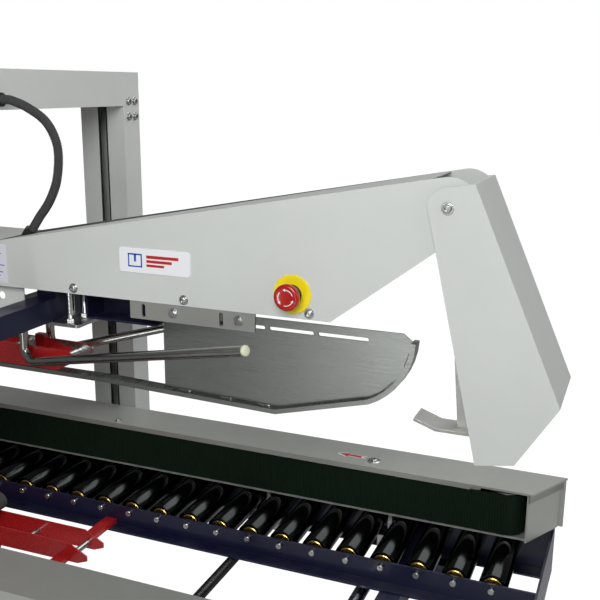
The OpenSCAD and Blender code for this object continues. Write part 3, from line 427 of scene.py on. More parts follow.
class Effects:
    """Shader groups that more than one finish uses, each built once."""

    def __init__(self) -> None:
        """Builds the groups."""
        self.grain = self._grain()
        self.wear = self._wear()
        self.dust = self._dust()

    @staticmethod
    def _grain() -> bpy.types.NodeTree:
        """Fine noise on stretched coordinates, and broad noise on plain ones."""
        web = new_group("SurfaceGrain", {"Vector": ("Vector", None), "Stretch": ("Vector", (1, 1, 1)),
                                         "Scale": ("Float", 500.0)}, ("Fine", "Broad"))
        entry, leave = web.tree.nodes["Entry"], web.tree.nodes["Exit"]
        stretch = web.add("VectorMath", operation="MULTIPLY")
        fine = web.add("TexNoise", Detail=3.0, Roughness=0.6)
        broad = web.add("TexNoise", Scale=5.0, Detail=3.0, Roughness=0.55)
        web.join(entry.outputs["Vector"], stretch.inputs[0])
        web.join(entry.outputs["Stretch"], stretch.inputs[1])
        web.join(stretch.outputs[0], fine.inputs["Vector"])
        web.join(entry.outputs["Scale"], fine.inputs["Scale"])
        web.join(entry.outputs["Vector"], broad.inputs["Vector"])
        web.join(fine.outputs["Fac"], leave.inputs["Fine"])
        web.join(broad.outputs["Fac"], leave.inputs["Broad"])
        return web.tree

    @staticmethod
    def _wear() -> bpy.types.NodeTree:
        """Edge mask: how far a rounded normal leans from the true one, broken up by noise."""
        web = new_group("EdgeWear", {"Vector": ("Vector", None), "Amount": ("Float", 0.5)}, ("Mask",))
        entry, leave = web.tree.nodes["Entry"], web.tree.nodes["Exit"]
        soft = web.add("Bevel", samples=4, Radius=1.2 * MM)
        true = web.add("NewGeometry")
        lean = web.add("VectorMath", operation="DOT_PRODUCT")
        edge = web.add("MapRange", From_Min=0.99, From_Max=0.8)
        noise = web.add("TexNoise", Scale=60.0, Detail=4.0)
        patch = web.add("MapRange", From_Min=0.42, From_Max=0.62)
        both = web.add("Math", operation="MULTIPLY")
        amount = web.add("Math", operation="MULTIPLY")
        web.join(soft.outputs["Normal"], lean.inputs[0])
        web.join(true.outputs["Normal"], lean.inputs[1])
        web.join(lean.outputs["Value"], edge.inputs["Value"])
        web.join(entry.outputs["Vector"], noise.inputs["Vector"])
        web.join(noise.outputs["Fac"], patch.inputs["Value"])
        web.join(edge.outputs[0], both.inputs[0])
        web.join(patch.outputs[0], both.inputs[1])
        web.join(both.outputs[0], amount.inputs[0])
        web.join(entry.outputs["Amount"], amount.inputs[1])
        web.join(amount.outputs[0], leave.inputs["Mask"])
        return web.tree

    @staticmethod
    def _dust() -> bpy.types.NodeTree:
        """Dust mask: upward-facing parts of the surface, broken up by noise."""
        web = new_group("SettledDust", {"Vector": ("Vector", None), "Amount": ("Float", 0.2)}, ("Mask",))
        entry, leave = web.tree.nodes["Entry"], web.tree.nodes["Exit"]
        true = web.add("NewGeometry")
        split = web.add("SeparateXYZ")
        facing = web.add("MapRange", From_Min=0.5, From_Max=1.0)
        noise = web.add("TexNoise", Scale=22.0, Detail=5.0)
        patch = web.add("MapRange", From_Min=0.38, From_Max=0.7)
        both = web.add("Math", operation="MULTIPLY")
        amount = web.add("Math", operation="MULTIPLY")
        web.join(true.outputs["Normal"], split.inputs[0])
        web.join(split.outputs["Z"], facing.inputs["Value"])
        web.join(entry.outputs["Vector"], noise.inputs["Vector"])
        web.join(noise.outputs["Fac"], patch.inputs["Value"])
        web.join(facing.outputs[0], both.inputs[0])
        web.join(patch.outputs[0], both.inputs[1])
        web.join(both.outputs[0], amount.inputs[0])
        web.join(entry.outputs["Amount"], amount.inputs[1])
        web.join(amount.outputs[0], leave.inputs["Mask"])
        return web.tree


@dataclass(frozen=True)
class Finish:
    """A surface finish: its colour, gloss, grain, wear and dust."""

    name: str
    colour: Colour
    rough: tuple[float, float] = (0.35, 0.5)
    metal: float = 0.0
    scale: float = 700.0
    stretch: tuple[float, float, float] = (1.0, 1.0, 1.0)
    bump: float = 0.1
    tint: float = 0.03
    wear: float = 0.0
    worn: Colour = (0.35, 0.35, 0.34)
    dust: float = 0.0
    coat: float = 0.0
    lean: float = 0.0
    sheen: float = 0.0
    gleam: float = 0.5

    def material(self, effects: Effects) -> bpy.types.Material:
        """Builds the finish once and returns its material.

        Args:
            effects: The shared shader groups.

        Returns:
            The material.
        """
        made = bpy.data.materials.get(self.name)
        if made:
            return made
        made = bpy.data.materials.new(self.name)
        made.use_nodes = True
        web = Web(made.node_tree)
        shader = made.node_tree.nodes["Principled BSDF"]
        plain = {"Metallic": self.metal, "Coat Weight": self.coat, "Coat Roughness": 0.12,
                 "Anisotropic": self.lean, "Sheen Weight": self.sheen, "Specular IOR Level": self.gleam}
        for key, value in plain.items():
            shader.inputs[key].default_value = value
        spots = web.add("TexCoord").outputs["Object"]
        grain = web.add("Group", node_tree=effects.grain, Stretch=self.stretch, Scale=self.scale)
        web.join(spots, grain.inputs["Vector"])
        dark = tuple(c * (1 - self.tint) for c in self.colour) + (1,)
        light = tuple(min(1, c * (1 + self.tint)) for c in self.colour) + (1,)
        patch = web.add("MapRange", From_Min=0.3, From_Max=0.7)
        web.join(grain.outputs["Broad"], patch.inputs["Value"])
        colour = self._mixed(web, patch.outputs[0], dark, light)
        for amount, tree, shade in ((self.wear, effects.wear, self.worn),
                                    (self.dust, effects.dust, (0.32, 0.31, 0.29))):
            if amount:
                mask = web.add("Group", node_tree=tree, Amount=amount)
                web.join(spots, mask.inputs["Vector"])
                colour = self._mixed(web, mask.outputs["Mask"], colour, shade + (1,))
        web.join(colour, shader.inputs["Base Color"])
        gloss = web.add("MapRange", From_Min=0.32, From_Max=0.68, To_Min=self.rough[0], To_Max=self.rough[1])
        web.join(grain.outputs["Fine"], gloss.inputs["Value"])
        web.join(gloss.outputs[0], shader.inputs["Roughness"])
        if self.bump:
            bump = web.add("Bump", Strength=self.bump, Distance=0.4 * MM)
            web.join(grain.outputs["Fine"], bump.inputs["Height"])
            web.join(bump.outputs["Normal"], shader.inputs["Normal"])
        return made

    @staticmethod
    def _mixed(web: Web, factor: bpy.types.NodeSocket, low: object, high: object) -> bpy.types.NodeSocket:
        """Mixes two colours by a factor.

        Args:
            web: The tree that takes the mix.
            factor: The output that mixes them.
            low: The colour at 0, plain or an output.
            high: The colour at 1, plain or an output.

        Returns:
            The mix's colour output.
        """
        mix = web.add("Mix", data_type="RGBA")
        web.join(factor, mix.inputs[0])
        for value, entry in ((low, mix.inputs[6]), (high, mix.inputs[7])):
            if isinstance(value, bpy.types.NodeSocket):
                web.join(value, entry)
            else:
                entry.default_value = value
        return mix.outputs[2]


ROUND_X, ROUND_Y, ROUND_Z = (1500.0, 6.0, 6.0), (6.0, 1500.0, 6.0), (6.0, 6.0, 1500.0)
PAINT = Finish("light_powder_coat", (0.60, 0.625, 0.605), (0.34, 0.5), scale=900, bump=0.14, tint=0.03,
               wear=0.25, worn=(0.74, 0.76, 0.74), dust=0.10)
RAIL_PAINT = Finish("rail_satin_coat", (0.47, 0.485, 0.455), (0.34, 0.46), 0.45, 900, bump=0.1,
                    tint=0.04, wear=0.35, worn=(0.7, 0.7, 0.68), dust=0.12)
NAVY = Finish("navy_powder_coat", (0.006, 0.0075, 0.033), (0.3, 0.44), scale=800, bump=0.12, tint=0.12,
              wear=0.35, worn=(0.12, 0.13, 0.2), dust=0.06, coat=0.15)
RED = Finish("red_enamel", (0.42, 0.012, 0.014), (0.2, 0.35), scale=700, bump=0.1, tint=0.1, wear=0.3,
             worn=(0.3, 0.2, 0.18), coat=0.3)
BRUSHED = Finish("brushed_sheet", (0.30, 0.315, 0.30), (0.24, 0.34), 1.0, 1.0, (14.0, 14.0, 1700.0), 0.2,
                 0.07, lean=0.5)
ZINC = Finish("zinc_plate", (0.50, 0.505, 0.50), (0.24, 0.4), 1.0, 160.0, bump=0.12, tint=0.14)
BARE = Finish("bare_steel", (0.40, 0.40, 0.38), (0.3, 0.46), 1.0, 240.0, bump=0.2, tint=0.16)
ROD_STEEL = Finish("drawn_steel_rod", (0.42, 0.42, 0.39), (0.2, 0.27), 1.0, 1.0, (40.0, 700.0, 700.0),
                   0.04, 0.04)
GROUND_Y = Finish("ground_bar_across", (0.52, 0.53, 0.53), (0.12, 0.24), 1.0, 1.0, ROUND_Y, 0.2, 0.06)
GROUND_Z = Finish("ground_bar_upright", (0.62, 0.63, 0.63), (0.1, 0.2), 1.0, 1.0, ROUND_Z, 0.15, 0.05)
GROUND_X = Finish("ground_bar_along", (0.62, 0.63, 0.63), (0.1, 0.2), 1.0, 1.0, ROUND_X, 0.15, 0.05)
OILED = Finish("oiled_dark_steel", (0.045, 0.045, 0.047), (0.25, 0.4), 0.9, 300.0, bump=0.1, tint=0.2)
# Chromed roller steel with a near-black base colour: a painted dark reflection of the room, not the steel's
# own tone.
ROLLER_PAINTED_DARK_REFLECTION = Finish("dark_roller_steel", (0.026, 0.028, 0.028), (0.12, 0.2), 1.0, 1.0, ROUND_Y, 0.1, 0.12)
YELLOW_ZINC = Finish("yellow_zinc", (0.62, 0.45, 0.14), (0.22, 0.36), 1.0, 200.0, bump=0.1, tint=0.15)
BLACK = Finish("black_moulding", (0.016, 0.016, 0.017), (0.4, 0.55), scale=1200, bump=0.2, tint=0.15)
RUBBER = Finish("black_rubber", (0.006, 0.0065, 0.0065), (0.5, 0.7), scale=900, bump=0.25, tint=0.2,
                sheen=0.05)
BRISTLE = Finish("black_bristle", (0.008, 0.008, 0.008), (0.6, 0.8), 0.0, 1.0, (400.0, 2500.0, 2500.0), 0.6)
BELT = Finish("green_belt", (0.0035, 0.0125, 0.005), (0.55, 0.72), scale=1200.0, bump=0.3, tint=0.2,
              gleam=0.22)
WHITE = Finish("white_plate", (0.86, 0.87, 0.9), (0.15, 0.22), scale=300, bump=0.02, tint=0.01)
LABEL = Finish("paper_label", (0.72, 0.73, 0.8), (0.4, 0.5), scale=500, bump=0.05, tint=0.02)
INK_BLUE = Finish("blue_ink", (0.03, 0.10, 0.5), (0.25, 0.35), bump=0.02, tint=0.05)
INK_RED = Finish("red_ink", (0.5, 0.02, 0.02), (0.25, 0.35), bump=0.02, tint=0.05)
YELLOW = Finish("yellow_legend", (0.92, 0.76, 0.01), (0.25, 0.35), scale=400, bump=0.03, tint=0.02)
STOP_RED = Finish("stop_red", (0.42, 0.008, 0.006), (0.2, 0.3), scale=700, bump=0.04, tint=0.04, coat=0.3)
GREEN = Finish("start_green", (0.01, 0.2, 0.04), (0.2, 0.3), scale=700, bump=0.04, tint=0.04, coat=0.3)
TIP = Finish("rod_tip_cap", (0.72, 0.73, 0.55), (0.35, 0.5), scale=800, bump=0.08, tint=0.04)
TAPE = Finish("packing_tape", (0.42, 0.27, 0.11), (0.12, 0.3), 0.0, 1.0, (900.0, 40.0, 900.0), 0.15, 0.06,
              coat=0.4)
CARD = Finish("core_board", (0.30, 0.2, 0.11), (0.7, 0.85), scale=300, bump=0.4, tint=0.15)
BRACKET = Finish("bracket_coat", (0.30, 0.305, 0.28), (0.36, 0.5), 0.3, 800, bump=0.12, tint=0.05,
                 wear=0.3, worn=(0.5, 0.5, 0.47))


# ---- Pieces ----


@dataclass
class Maker:
    """Puts shapes into Blender objects, dresses them and ties them to the frame."""

    effects: Effects
    edge: float = 35.0
    made: int = 0

    def piece(self, name: str, body: str, parts: Sequence[tuple[Shape, Finish]], slot: str,
              replaces: Sequence[str] = (), bevel: float = 0.0) -> bpy.types.Object:
        """Joins shapes into one piece that rides on a body.

        Args:
            name: The piece's name.
            body: The body that it rides on.
            parts: Shapes with their finishes.
            slot: The record's material slot; not used.
            replaces: Nodes that the piece stands for.
            bevel: Width of the rounded edges, or 0.

        Returns:
            The object.
        """
        starts = np.cumsum([0] + [len(s.points) for s, _ in parts])
        points = np.vstack([s.points for s, _ in parts]) * MM
        faces = [tuple(p + int(n) for p in f) for (s, _), n in zip(parts, starts) for f in s.faces]
        finishes = list(dict.fromkeys(f for _, f in parts))
        numbers = [finishes.index(f) for s, f in parts for _ in s.faces]
        mesh = bpy.data.meshes.new(name)
        mesh.from_pydata(points, [], faces)
        mesh.polygons.foreach_set("material_index", numbers)
        work = bmesh.new()
        work.from_mesh(mesh)
        bmesh.ops.remove_doubles(work, verts=work.verts, dist=1e-7)
        bmesh.ops.recalc_face_normals(work, faces=work.faces)
        work.to_mesh(mesh)
        work.free()
        return self._dressed(name, mesh, body, finishes, replaces, bevel)

    def softened(self, node: str, body: str, finishes: Sequence[Finish], slot: str, bevel: float = 0.7,
                 pick: Callable[[np.ndarray], np.ndarray] | None = None) -> bpy.types.Object:
        """Makes a copy of a node's mesh with its flat faces joined and its edges rounded.

        Args:
            node: The node that the copy stands for.
            body: The body that it rides on.
            finishes: The finishes that it has.
            slot: The record's material slot; not used.
            bevel: Width of the rounded edges.
            pick: Gives each face's finish number from the face centres, n by 3.

        Returns:
            The object.
        """
        mesh = bpy.data.objects[node].data.copy()
        mesh.name = node + "_skin"
        work = bmesh.new()
        work.from_mesh(mesh)
        bmesh.ops.remove_doubles(work, verts=work.verts, dist=2e-6)
        bmesh.ops.dissolve_limit(work, angle_limit=math.radians(0.6), verts=work.verts, edges=work.edges)
        work.to_mesh(mesh)
        work.free()
        stale = mesh.attributes.get("custom_normal")
        if stale:
            mesh.attributes.remove(stale)
        mesh.materials.clear()
        count = len(mesh.polygons)
        numbers = np.zeros(count, np.int32)
        if pick:
            centres = np.empty(count * 3, np.float32)
            mesh.polygons.foreach_get("center", centres)
            numbers = np.asarray(pick(centres.reshape(-1, 3) / MM), np.int32)
        mesh.polygons.foreach_set("material_index", numbers)
        return self._dressed(node + "_skin", mesh, body, finishes, (node,), bevel)

    def _dressed(self, name: str, mesh: bpy.types.Mesh, body: str, finishes: Sequence[Finish],
                 replaces: Sequence[str], bevel: float) -> bpy.types.Object:
        """Gives a mesh its finishes, shading and edges, and ties it to the frame.

        Args:
            name: The piece's name.
            mesh: Its mesh, in metres.
            body: The body that it rides on.
            finishes: The finishes that its faces number.
            replaces: Nodes that the piece stands for.
            bevel: Width of the rounded edges, or 0.

        Returns:
            The object.
        """
        for finish in finishes:
            mesh.materials.append(finish.material(self.effects))
        mesh.shade_smooth()
        mesh.set_sharp_from_angle(angle=math.radians(self.edge))
        made = bpy.data.objects.new(name, mesh)
        bpy.context.scene.collection.objects.link(made)
        if bevel:
            edges = made.modifiers.new("rounded_edges", "BEVEL")
            edges.width, edges.segments = bevel * MM, 2
            edges.limit_method, edges.angle_limit = "ANGLE", math.radians(self.edge)
            edges.harden_normals = True
            edges.use_clamp_overlap = True
        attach(made, body)
        if replaces:
            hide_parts(*replaces)
        self.made += 1
        LOG.info("%s rides on %s with %d faces", name, body, len(mesh.polygons))
        return made


def bolt(seat: Place, out: np.ndarray, radius: float = 5.5, washer: float = 1.5, tall: float = 0.8) -> Shape:
    """A domed socket bolt on its washer: two turned profiles, the socket's rows hexagonal.

    Args:
        seat: The point where the washer meets its seat.
        out: The direction in which the head stands out.
        radius: The head's radius.
        washer: The washer's radius over the head's.
        tall: The head's height over its radius.

    Returns:
        The bolt's visible part.
    """
    w, t, h = washer * radius, 1.4, tall * radius
    ring = [(0, 0), (w, 0), (w, 0.7 * t), (0.95 * w, t), (0, t)]
    head = [(0, 0.5 * t), (radius, 0.5 * t), (radius, 0.6 * h + t), (0.93 * radius, 0.85 * h + t),
            (0.74 * radius, h + t), (0.56 * radius, h + t), (0.53 * radius, 0.45 * h + t), (0, 0.4 * h + t)]
    flat, top = lathe(ring, seat, out, 24), lathe(head, seat, out, 24, hexed=(5, 6))
    start = len(flat.points)
    return Shape(np.vstack([flat.points, top.points]),
                 flat.faces + [tuple(p + start for p in f) for f in top.faces])


def near_line(centres: np.ndarray, line: Place, axis: int, radius: float) -> np.ndarray:
    """Whether each centre lies within a radius of a line along an axis.

    Args:
        centres: Points n by 3.
        line: The line's place in the two other axes.
        axis: 0, 1 or 2 for x, y or z.
        radius: The distance allowed.

    Returns:
        True or False for each centre.
    """
    keep = [a for a in range(3) if a != axis]
    return np.linalg.norm(centres[:, keep] - np.asarray(line), axis=1) < radius


def corners(node: str) -> tuple[np.ndarray, np.ndarray]:
    """A node's lowest and highest corners, in millimetres."""
    low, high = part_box(node)
    return np.array(low) / MM, np.array(high) / MM


def toothed(radius: float, depth: float, teeth: int, centre: Place = (0, 0)) -> np.ndarray:
    """An outline with teeth: radius - depth * (1 - cos(teeth * a)) / 2, flattened at both ends.

    Args:
        radius: Distance from the centre to the teeth's tips.
        depth: Height of a tooth.
        teeth: Number of teeth.
        centre: The outline's centre.

    Returns:
        The outline.
    """
    a = np.arange(teeth * 8) * TAU / (teeth * 8)
    wave = np.clip(1.4 * np.cos(teeth * a), -1, 1)
    reach = radius - depth * (1 - wave) / 2
    return np.asarray(centre) + reach[:, None] * compass(a)


def capsule(start: Place, end: Place, first: float, last: float, steps: int = 12) -> np.ndarray:
    """The outline of a link: half a circle round each end, joined by straight sides.

    Args:
        start: Centre of the first end.
        end: Centre of the last end.
        first: Radius of the first end.
        last: Radius of the last end.
        steps: Points on each half circle.

    Returns:
        The outline.
    """
    start, end = np.asarray(start, float), np.asarray(end, float)
    heading = math.atan2(*(end - start)[::-1])
    half = np.linspace(math.pi / 2, 3 * math.pi / 2, steps)
    a, b = heading + half, heading + half + math.pi
    return np.vstack([start + first * compass(a), end + last * compass(b)])


# ---- Sub-assemblies ----


@dataclass
class Bed:
    """The roller bed and its stand."""

    maker: Maker
    pitch: float = 66.0
    pairs: int = 12
    roller_r: float = 24.9
    axle_r: float = 5.9
    tube: tuple[float, float] = (134.0, 336.0)
    foot_r: float = 32.0
    stud_r: float = 8.0
    bolt_r: float = 6.0
    column_bolt_y: float = 376.0
    bar_bolt_ys: tuple[float, float] = (398.0, 422.0)

    def build(self) -> None:
        """Builds and dresses everything that stands still under the belts."""
        for node in ("bed_frame", "bed_side_plates", "bed_flanges", "under_frame"):
            self.maker.softened(node, "base", [NAVY], "navy_paint", 1.2)
        self.maker.softened("height_legs", "base", [ZINC], "zinc_steel", 1.0)
        self.maker.softened("width_guides", "base", [GROUND_Y], "bright_steel", 0.8)
        for side in Side:
            self.rollers(side)
        self.feet()
        self.bolts()

    def rollers(self, side: Side) -> None:
        """Makes a row of rollers with their bearings and axles.

        Args:
            side: The row's side.
        """
        node = "bed_rollers_" + side.word
        low, high = corners(node)
        axle_z = (low[2] + high[2]) / 2
        ends = sorted(abs(v) for v in (low[1], high[1]))
        a, b = self.tube
        r = self.roller_r
        half = [(9, 4), (18, 4), (21.2, 1.4), (23.6, 0.2), (r - 0.4, 0.2), (r, 0.8)]
        wall = [(w, a + d) for w, d in half] + [(w, b - d) for w, d in reversed(half)]
        axle = [(0, ends[0]), (self.axle_r - 0.8, ends[0]), (self.axle_r, ends[0] + 0.8),
                (self.axle_r, ends[1]), (0, ends[1])]
        bearing = np.array([(6.4, 1.6), (9, 1.0), (12, 1.6), (16.5, 1.4), (17.6, 2.2), (17.6, 4.5),
                            (6.4, 4.5)])
        rings = [bearing + (0, a), bearing * (1, -1) + (0, b)]
        row = np.outer(np.arange(-self.pairs, self.pairs + 1) * self.pitch, X_AXIS)
        at = (0, 0, axle_z)
        # The roller walls take the near-black finish, whose darkness is a painted dark reflection.
        parts = [(lathe(wall, at, Y_AXIS, 36), ROLLER_PAINTED_DARK_REFLECTION), (lathe(axle, at, Y_AXIS, 16), ZINC)]
        parts += [(lathe(ring, at, Y_AXIS, 24, ring=True), YELLOW_ZINC) for ring in rings]
        parts = [(repeated(shape, row), finish) for shape, finish in parts]
        if side is Side.NEAR:
            parts = [(shape.mirrored(), finish) for shape, finish in parts]
        self.maker.piece("roller_row_" + side.word, "base", parts, "bright_steel", [node])

    def feet(self) -> None:
        """Makes the four levelling feet: a rubber-faced pad, a threaded stud and its lock nut."""
        high = corners("levelling_feet")[1]
        r, s = self.foot_r, self.stud_r
        x, y = high[0] - r, high[1] - r
        pad = [(0, 0), (r - 2, 0), (r, 1.5), (r, 6), (r - 2.5, 9.5), (r - 14, 12), (r - 15, 20),
               (r - 17, 22), (0, 22)]
        nut = [(0, 50), (12, 50), (14, 51.2), (14, 60.8), (12, 62), (0, 62)]
        parts = []
        for at in ((x, y, 0), (-x, y, 0), (-x, -y, 0), (x, -y, 0)):
            parts += [(lathe(pad, at, Z_AXIS, 40), BLACK),
                      (screw_thread(at, Z_AXIS, 20, high[2], s, 2.5, 1.3), ZINC),
                      (lathe(nut, at, Z_AXIS, 36, hexed=(1, 2, 3, 4)), ZINC)]
        self.maker.piece("levelling_feet_turned", "base", parts, "black_rubber", ["levelling_feet"])

    def bolts(self) -> None:
        """Makes the bolts that hold the columns to the bed and the crossbar to the columns."""
        low = corners("frame_bolts")[0]
        column, bar = corners("columns"), corners("crossbar")
        middle = (column[0][0] + column[1][0]) / 2
        face = column[1][0]
        shapes = [bolt((face, s * y, z), X_AXIS, self.bolt_r, 1.45, 0.7)
                  for s in (-1, 1) for y in self.bar_bolt_ys for z in (bar[0][2] - 22, bar[0][2] + 10)]
        shapes += [bolt((middle + x, s * self.column_bolt_y, low[2] + self.bolt_r + z), -s * Y_AXIS,
                        self.bolt_r, 1.3)
                   for s in (-1, 1) for x in (-30, 30) for z in (0, 60)]
        self.maker.piece("frame_bolts_turned", "base", [(shape, ZINC) for shape in shapes], "zinc_steel",
                         ["frame_bolts"])


@dataclass
class WidthDrive:
    """The screw that moves both rails, and its handwheel."""

    maker: Maker
    radius: float = 10.0
    lead: float = 4.0
    plain: float = 48.0
    rim_r: float = 5.8

    def build(self) -> None:
        """Builds the screw and the handwheel."""
        low, high = corners("width_screw")
        at = ((low[0] + high[0]) / 2, 0, (low[2] + high[2]) / 2)
        r, start = self.radius, low[1] + self.plain
        end = [(0, low[1]), (r - 1, low[1]), (r, low[1] + 1), (r, start), (0, start)]
        thread = screw_thread(at, Y_AXIS, start, high[1], r - 0.05, self.lead, 1.4)
        parts = [(lathe(end, at, Y_AXIS), GROUND_Y), (thread, OILED)]
        self.maker.piece("width_screw_threaded", "width_screw", parts, "bright_steel", ["width_screw"])
        self.wheel(at)

    def wheel(self, at: Place) -> None:
        """Makes the handwheel: a round rim, a stepped hub, three tapered spokes and a knob.

        Args:
            at: A point on the screw's axis.
        """
        low, high = corners("width_handwheel")
        rim = (high[0] - low[0]) / 2 - self.rim_r
        back, face = high[1], low[1] + 12
        mid = face + 6
        hub = [(9, back), (19, back), (20, back - 1), (20, back - 12), (16, back - 16), (15, face + 2),
               (13.5, face + 0.3), (6, face), (6, face + 2), (0, face + 2)]
        parts = [(lathe(circle(self.rim_r, 14, (rim, mid)), at, Y_AXIS, 64, ring=True), BLACK),
                 (lathe(hub, at, Y_AXIS), BLACK)]
        reach = np.linspace(12, rim - 2, 9)
        taper = 1 - 0.35 * np.sin(np.linspace(0, math.pi, 9))
        section = circle(1, 14) * (7.5, 3.6) * taper[:, None, None]
        dish = mid + 3 * np.cos(reach / rim * math.pi)
        for a in np.radians((90, 210, 330)):
            out = np.array([math.cos(a), 0, math.sin(a)])
            path = np.asarray(at) + reach[:, None] * out + dish[:, None] * Y_AXIS
            parts.append((carried(section, path, np.cross(out, Y_AXIS), Y_AXIS), BLACK))
        knob = [(0, face), (4, face), (4.5, face - 2), (8, face - 5), (9, face - 8), (8, face - 11),
                (5, low[1]), (0, low[1])]
        parts.append((lathe(knob, np.asarray(at) + (0, 0, rim - 6), Y_AXIS, 24), BLACK))
        self.maker.piece("handwheel_turned", "width_screw", parts, "black_plastic", ["width_handwheel"])


@dataclass
class Gantry:
    """Columns, crossbar, lift screws, chain and crank."""

    maker: Maker
    screw_r: float = 10.0
    lead: float = 4.0
    slot: tuple[float, float] = (-141.5, -118.5)
    bristle: float = 3.6
    bristle_gap: float = 3.0
    bristle_depth: float = 2.4
    brush_y: float = 380.8
    brush_z: tuple[float, float] = (713.0, 1417.0)
    thread_top: float = 1436.0
    sprocket_z: tuple[float, float] = (1443.0, 1449.0)

    def build(self) -> None:
        """Builds and dresses the gantry."""
        self.maker.softened("columns", "base", [PAINT], "light_paint", 1.6)
        face = corners("columns")[1][0]
        self.maker.softened("crossbar", "base", [PAINT, BLACK], "light_paint", 1.6,
                            lambda c: c[:, 0] > face + 0.5)
        self.maker.softened("lift_chain", "base", [OILED], "zinc_steel", 0.5)
        self.brushes()
        for side in Side:
            self.screw(side)
        self.crank()

    def brushes(self) -> None:
        """Makes the bristle strips on both sides of each column's slot, ragged along the opening."""
        low, high = self.brush_z
        heights = np.linspace(low, high, int((high - low) / self.bristle_gap) * 2)
        ragged = np.where(np.arange(len(heights)) % 2, 0.0, 0.5)
        parts = []
        for side in Side:
            for edge, way in ((self.slot[0], 1), (self.slot[1], -1)):
                reach = self.bristle - ragged
                profile = np.zeros((len(heights), 4, 2))
                profile[:, 1:3, 0] = way * reach[:, None]
                profile[:, 2:, 1] = self.bristle_depth
                path = np.outer(heights, Z_AXIS) + (edge, self.brush_y * side.value, 0)
                parts.append((carried(profile, path, X_AXIS, side.value * Y_AXIS), BRISTLE))
        self.maker.piece("column_slot_brushes", "base", parts, "black_rubber")

    def screw(self, side: Side) -> None:
        """Makes a lift screw with its toothed sprocket.

        Args:
            side: The screw's side.
        """
        node = "lift_screw_" + side.word
        low, high = corners(node)
        at = ((low[0] + high[0]) / 2, (low[1] + high[1]) / 2, 0)
        r, top = self.screw_r, high[2]
        foot, head = low[2] + 30, self.thread_top
        ends = [[(0, low[2]), (r - 1, low[2]), (r, low[2] + 1), (r, foot), (0, foot)],
                [(0, head), (r, head), (r, top - 1), (r - 1, top), (0, top)]]
        parts = [(lathe(end, at, Z_AXIS), GROUND_Z) for end in ends]
        parts.append((screw_thread(at, Z_AXIS, foot, head, r, self.lead, 1.4), OILED))
        reach = (high[0] - low[0]) / 2
        parts.append((slab(toothed(reach, 3.0, 13, at[:2]), 2, *self.sprocket_z), OILED))
        self.maker.piece(node + "_threaded", node, parts, "bright_steel", [node])

    def crank(self) -> None:
        """Makes the crank: a forged arm, its hub and a turned grip."""
        low, high = corners("lift_crank")
        hub = np.array([low[0] + 16, low[1] + 16])
        grip = np.array([high[0] - 12, hub[1]])
        z = low[2]
        arm = rounded(capsule(hub, grip, 15.8, 9.5), 1)
        parts = [(slab(arm, 2, z + 1, z + 11), BLACK),
                 (lathe([(0, z), (14.5, z), (15.9, z + 1.4), (15.9, z + 10.6), (14.5, z + 12), (0, z + 12)],
                        (*hub, 0), Z_AXIS), BLACK)]
        t = np.linspace(0, 1, 15)
        swell = 9 + 3 * np.sin(math.pi * (0.15 + 0.8 * t)) ** 2
        swell[-3:] = (10.5, 8.6, 5.0)
        turned = [(r, z + 12 + 80 * k) for r, k in zip(swell.tolist(), t.tolist())]
        rows = [(0, z + 12), *turned, (0, z + 92)]
        parts.append((lathe(rows, (*grip, 0), Z_AXIS, 28), BLACK))
        self.maker.piece("lift_crank_turned", "lift_screw_near", parts, "black_plastic", ["lift_crank"])


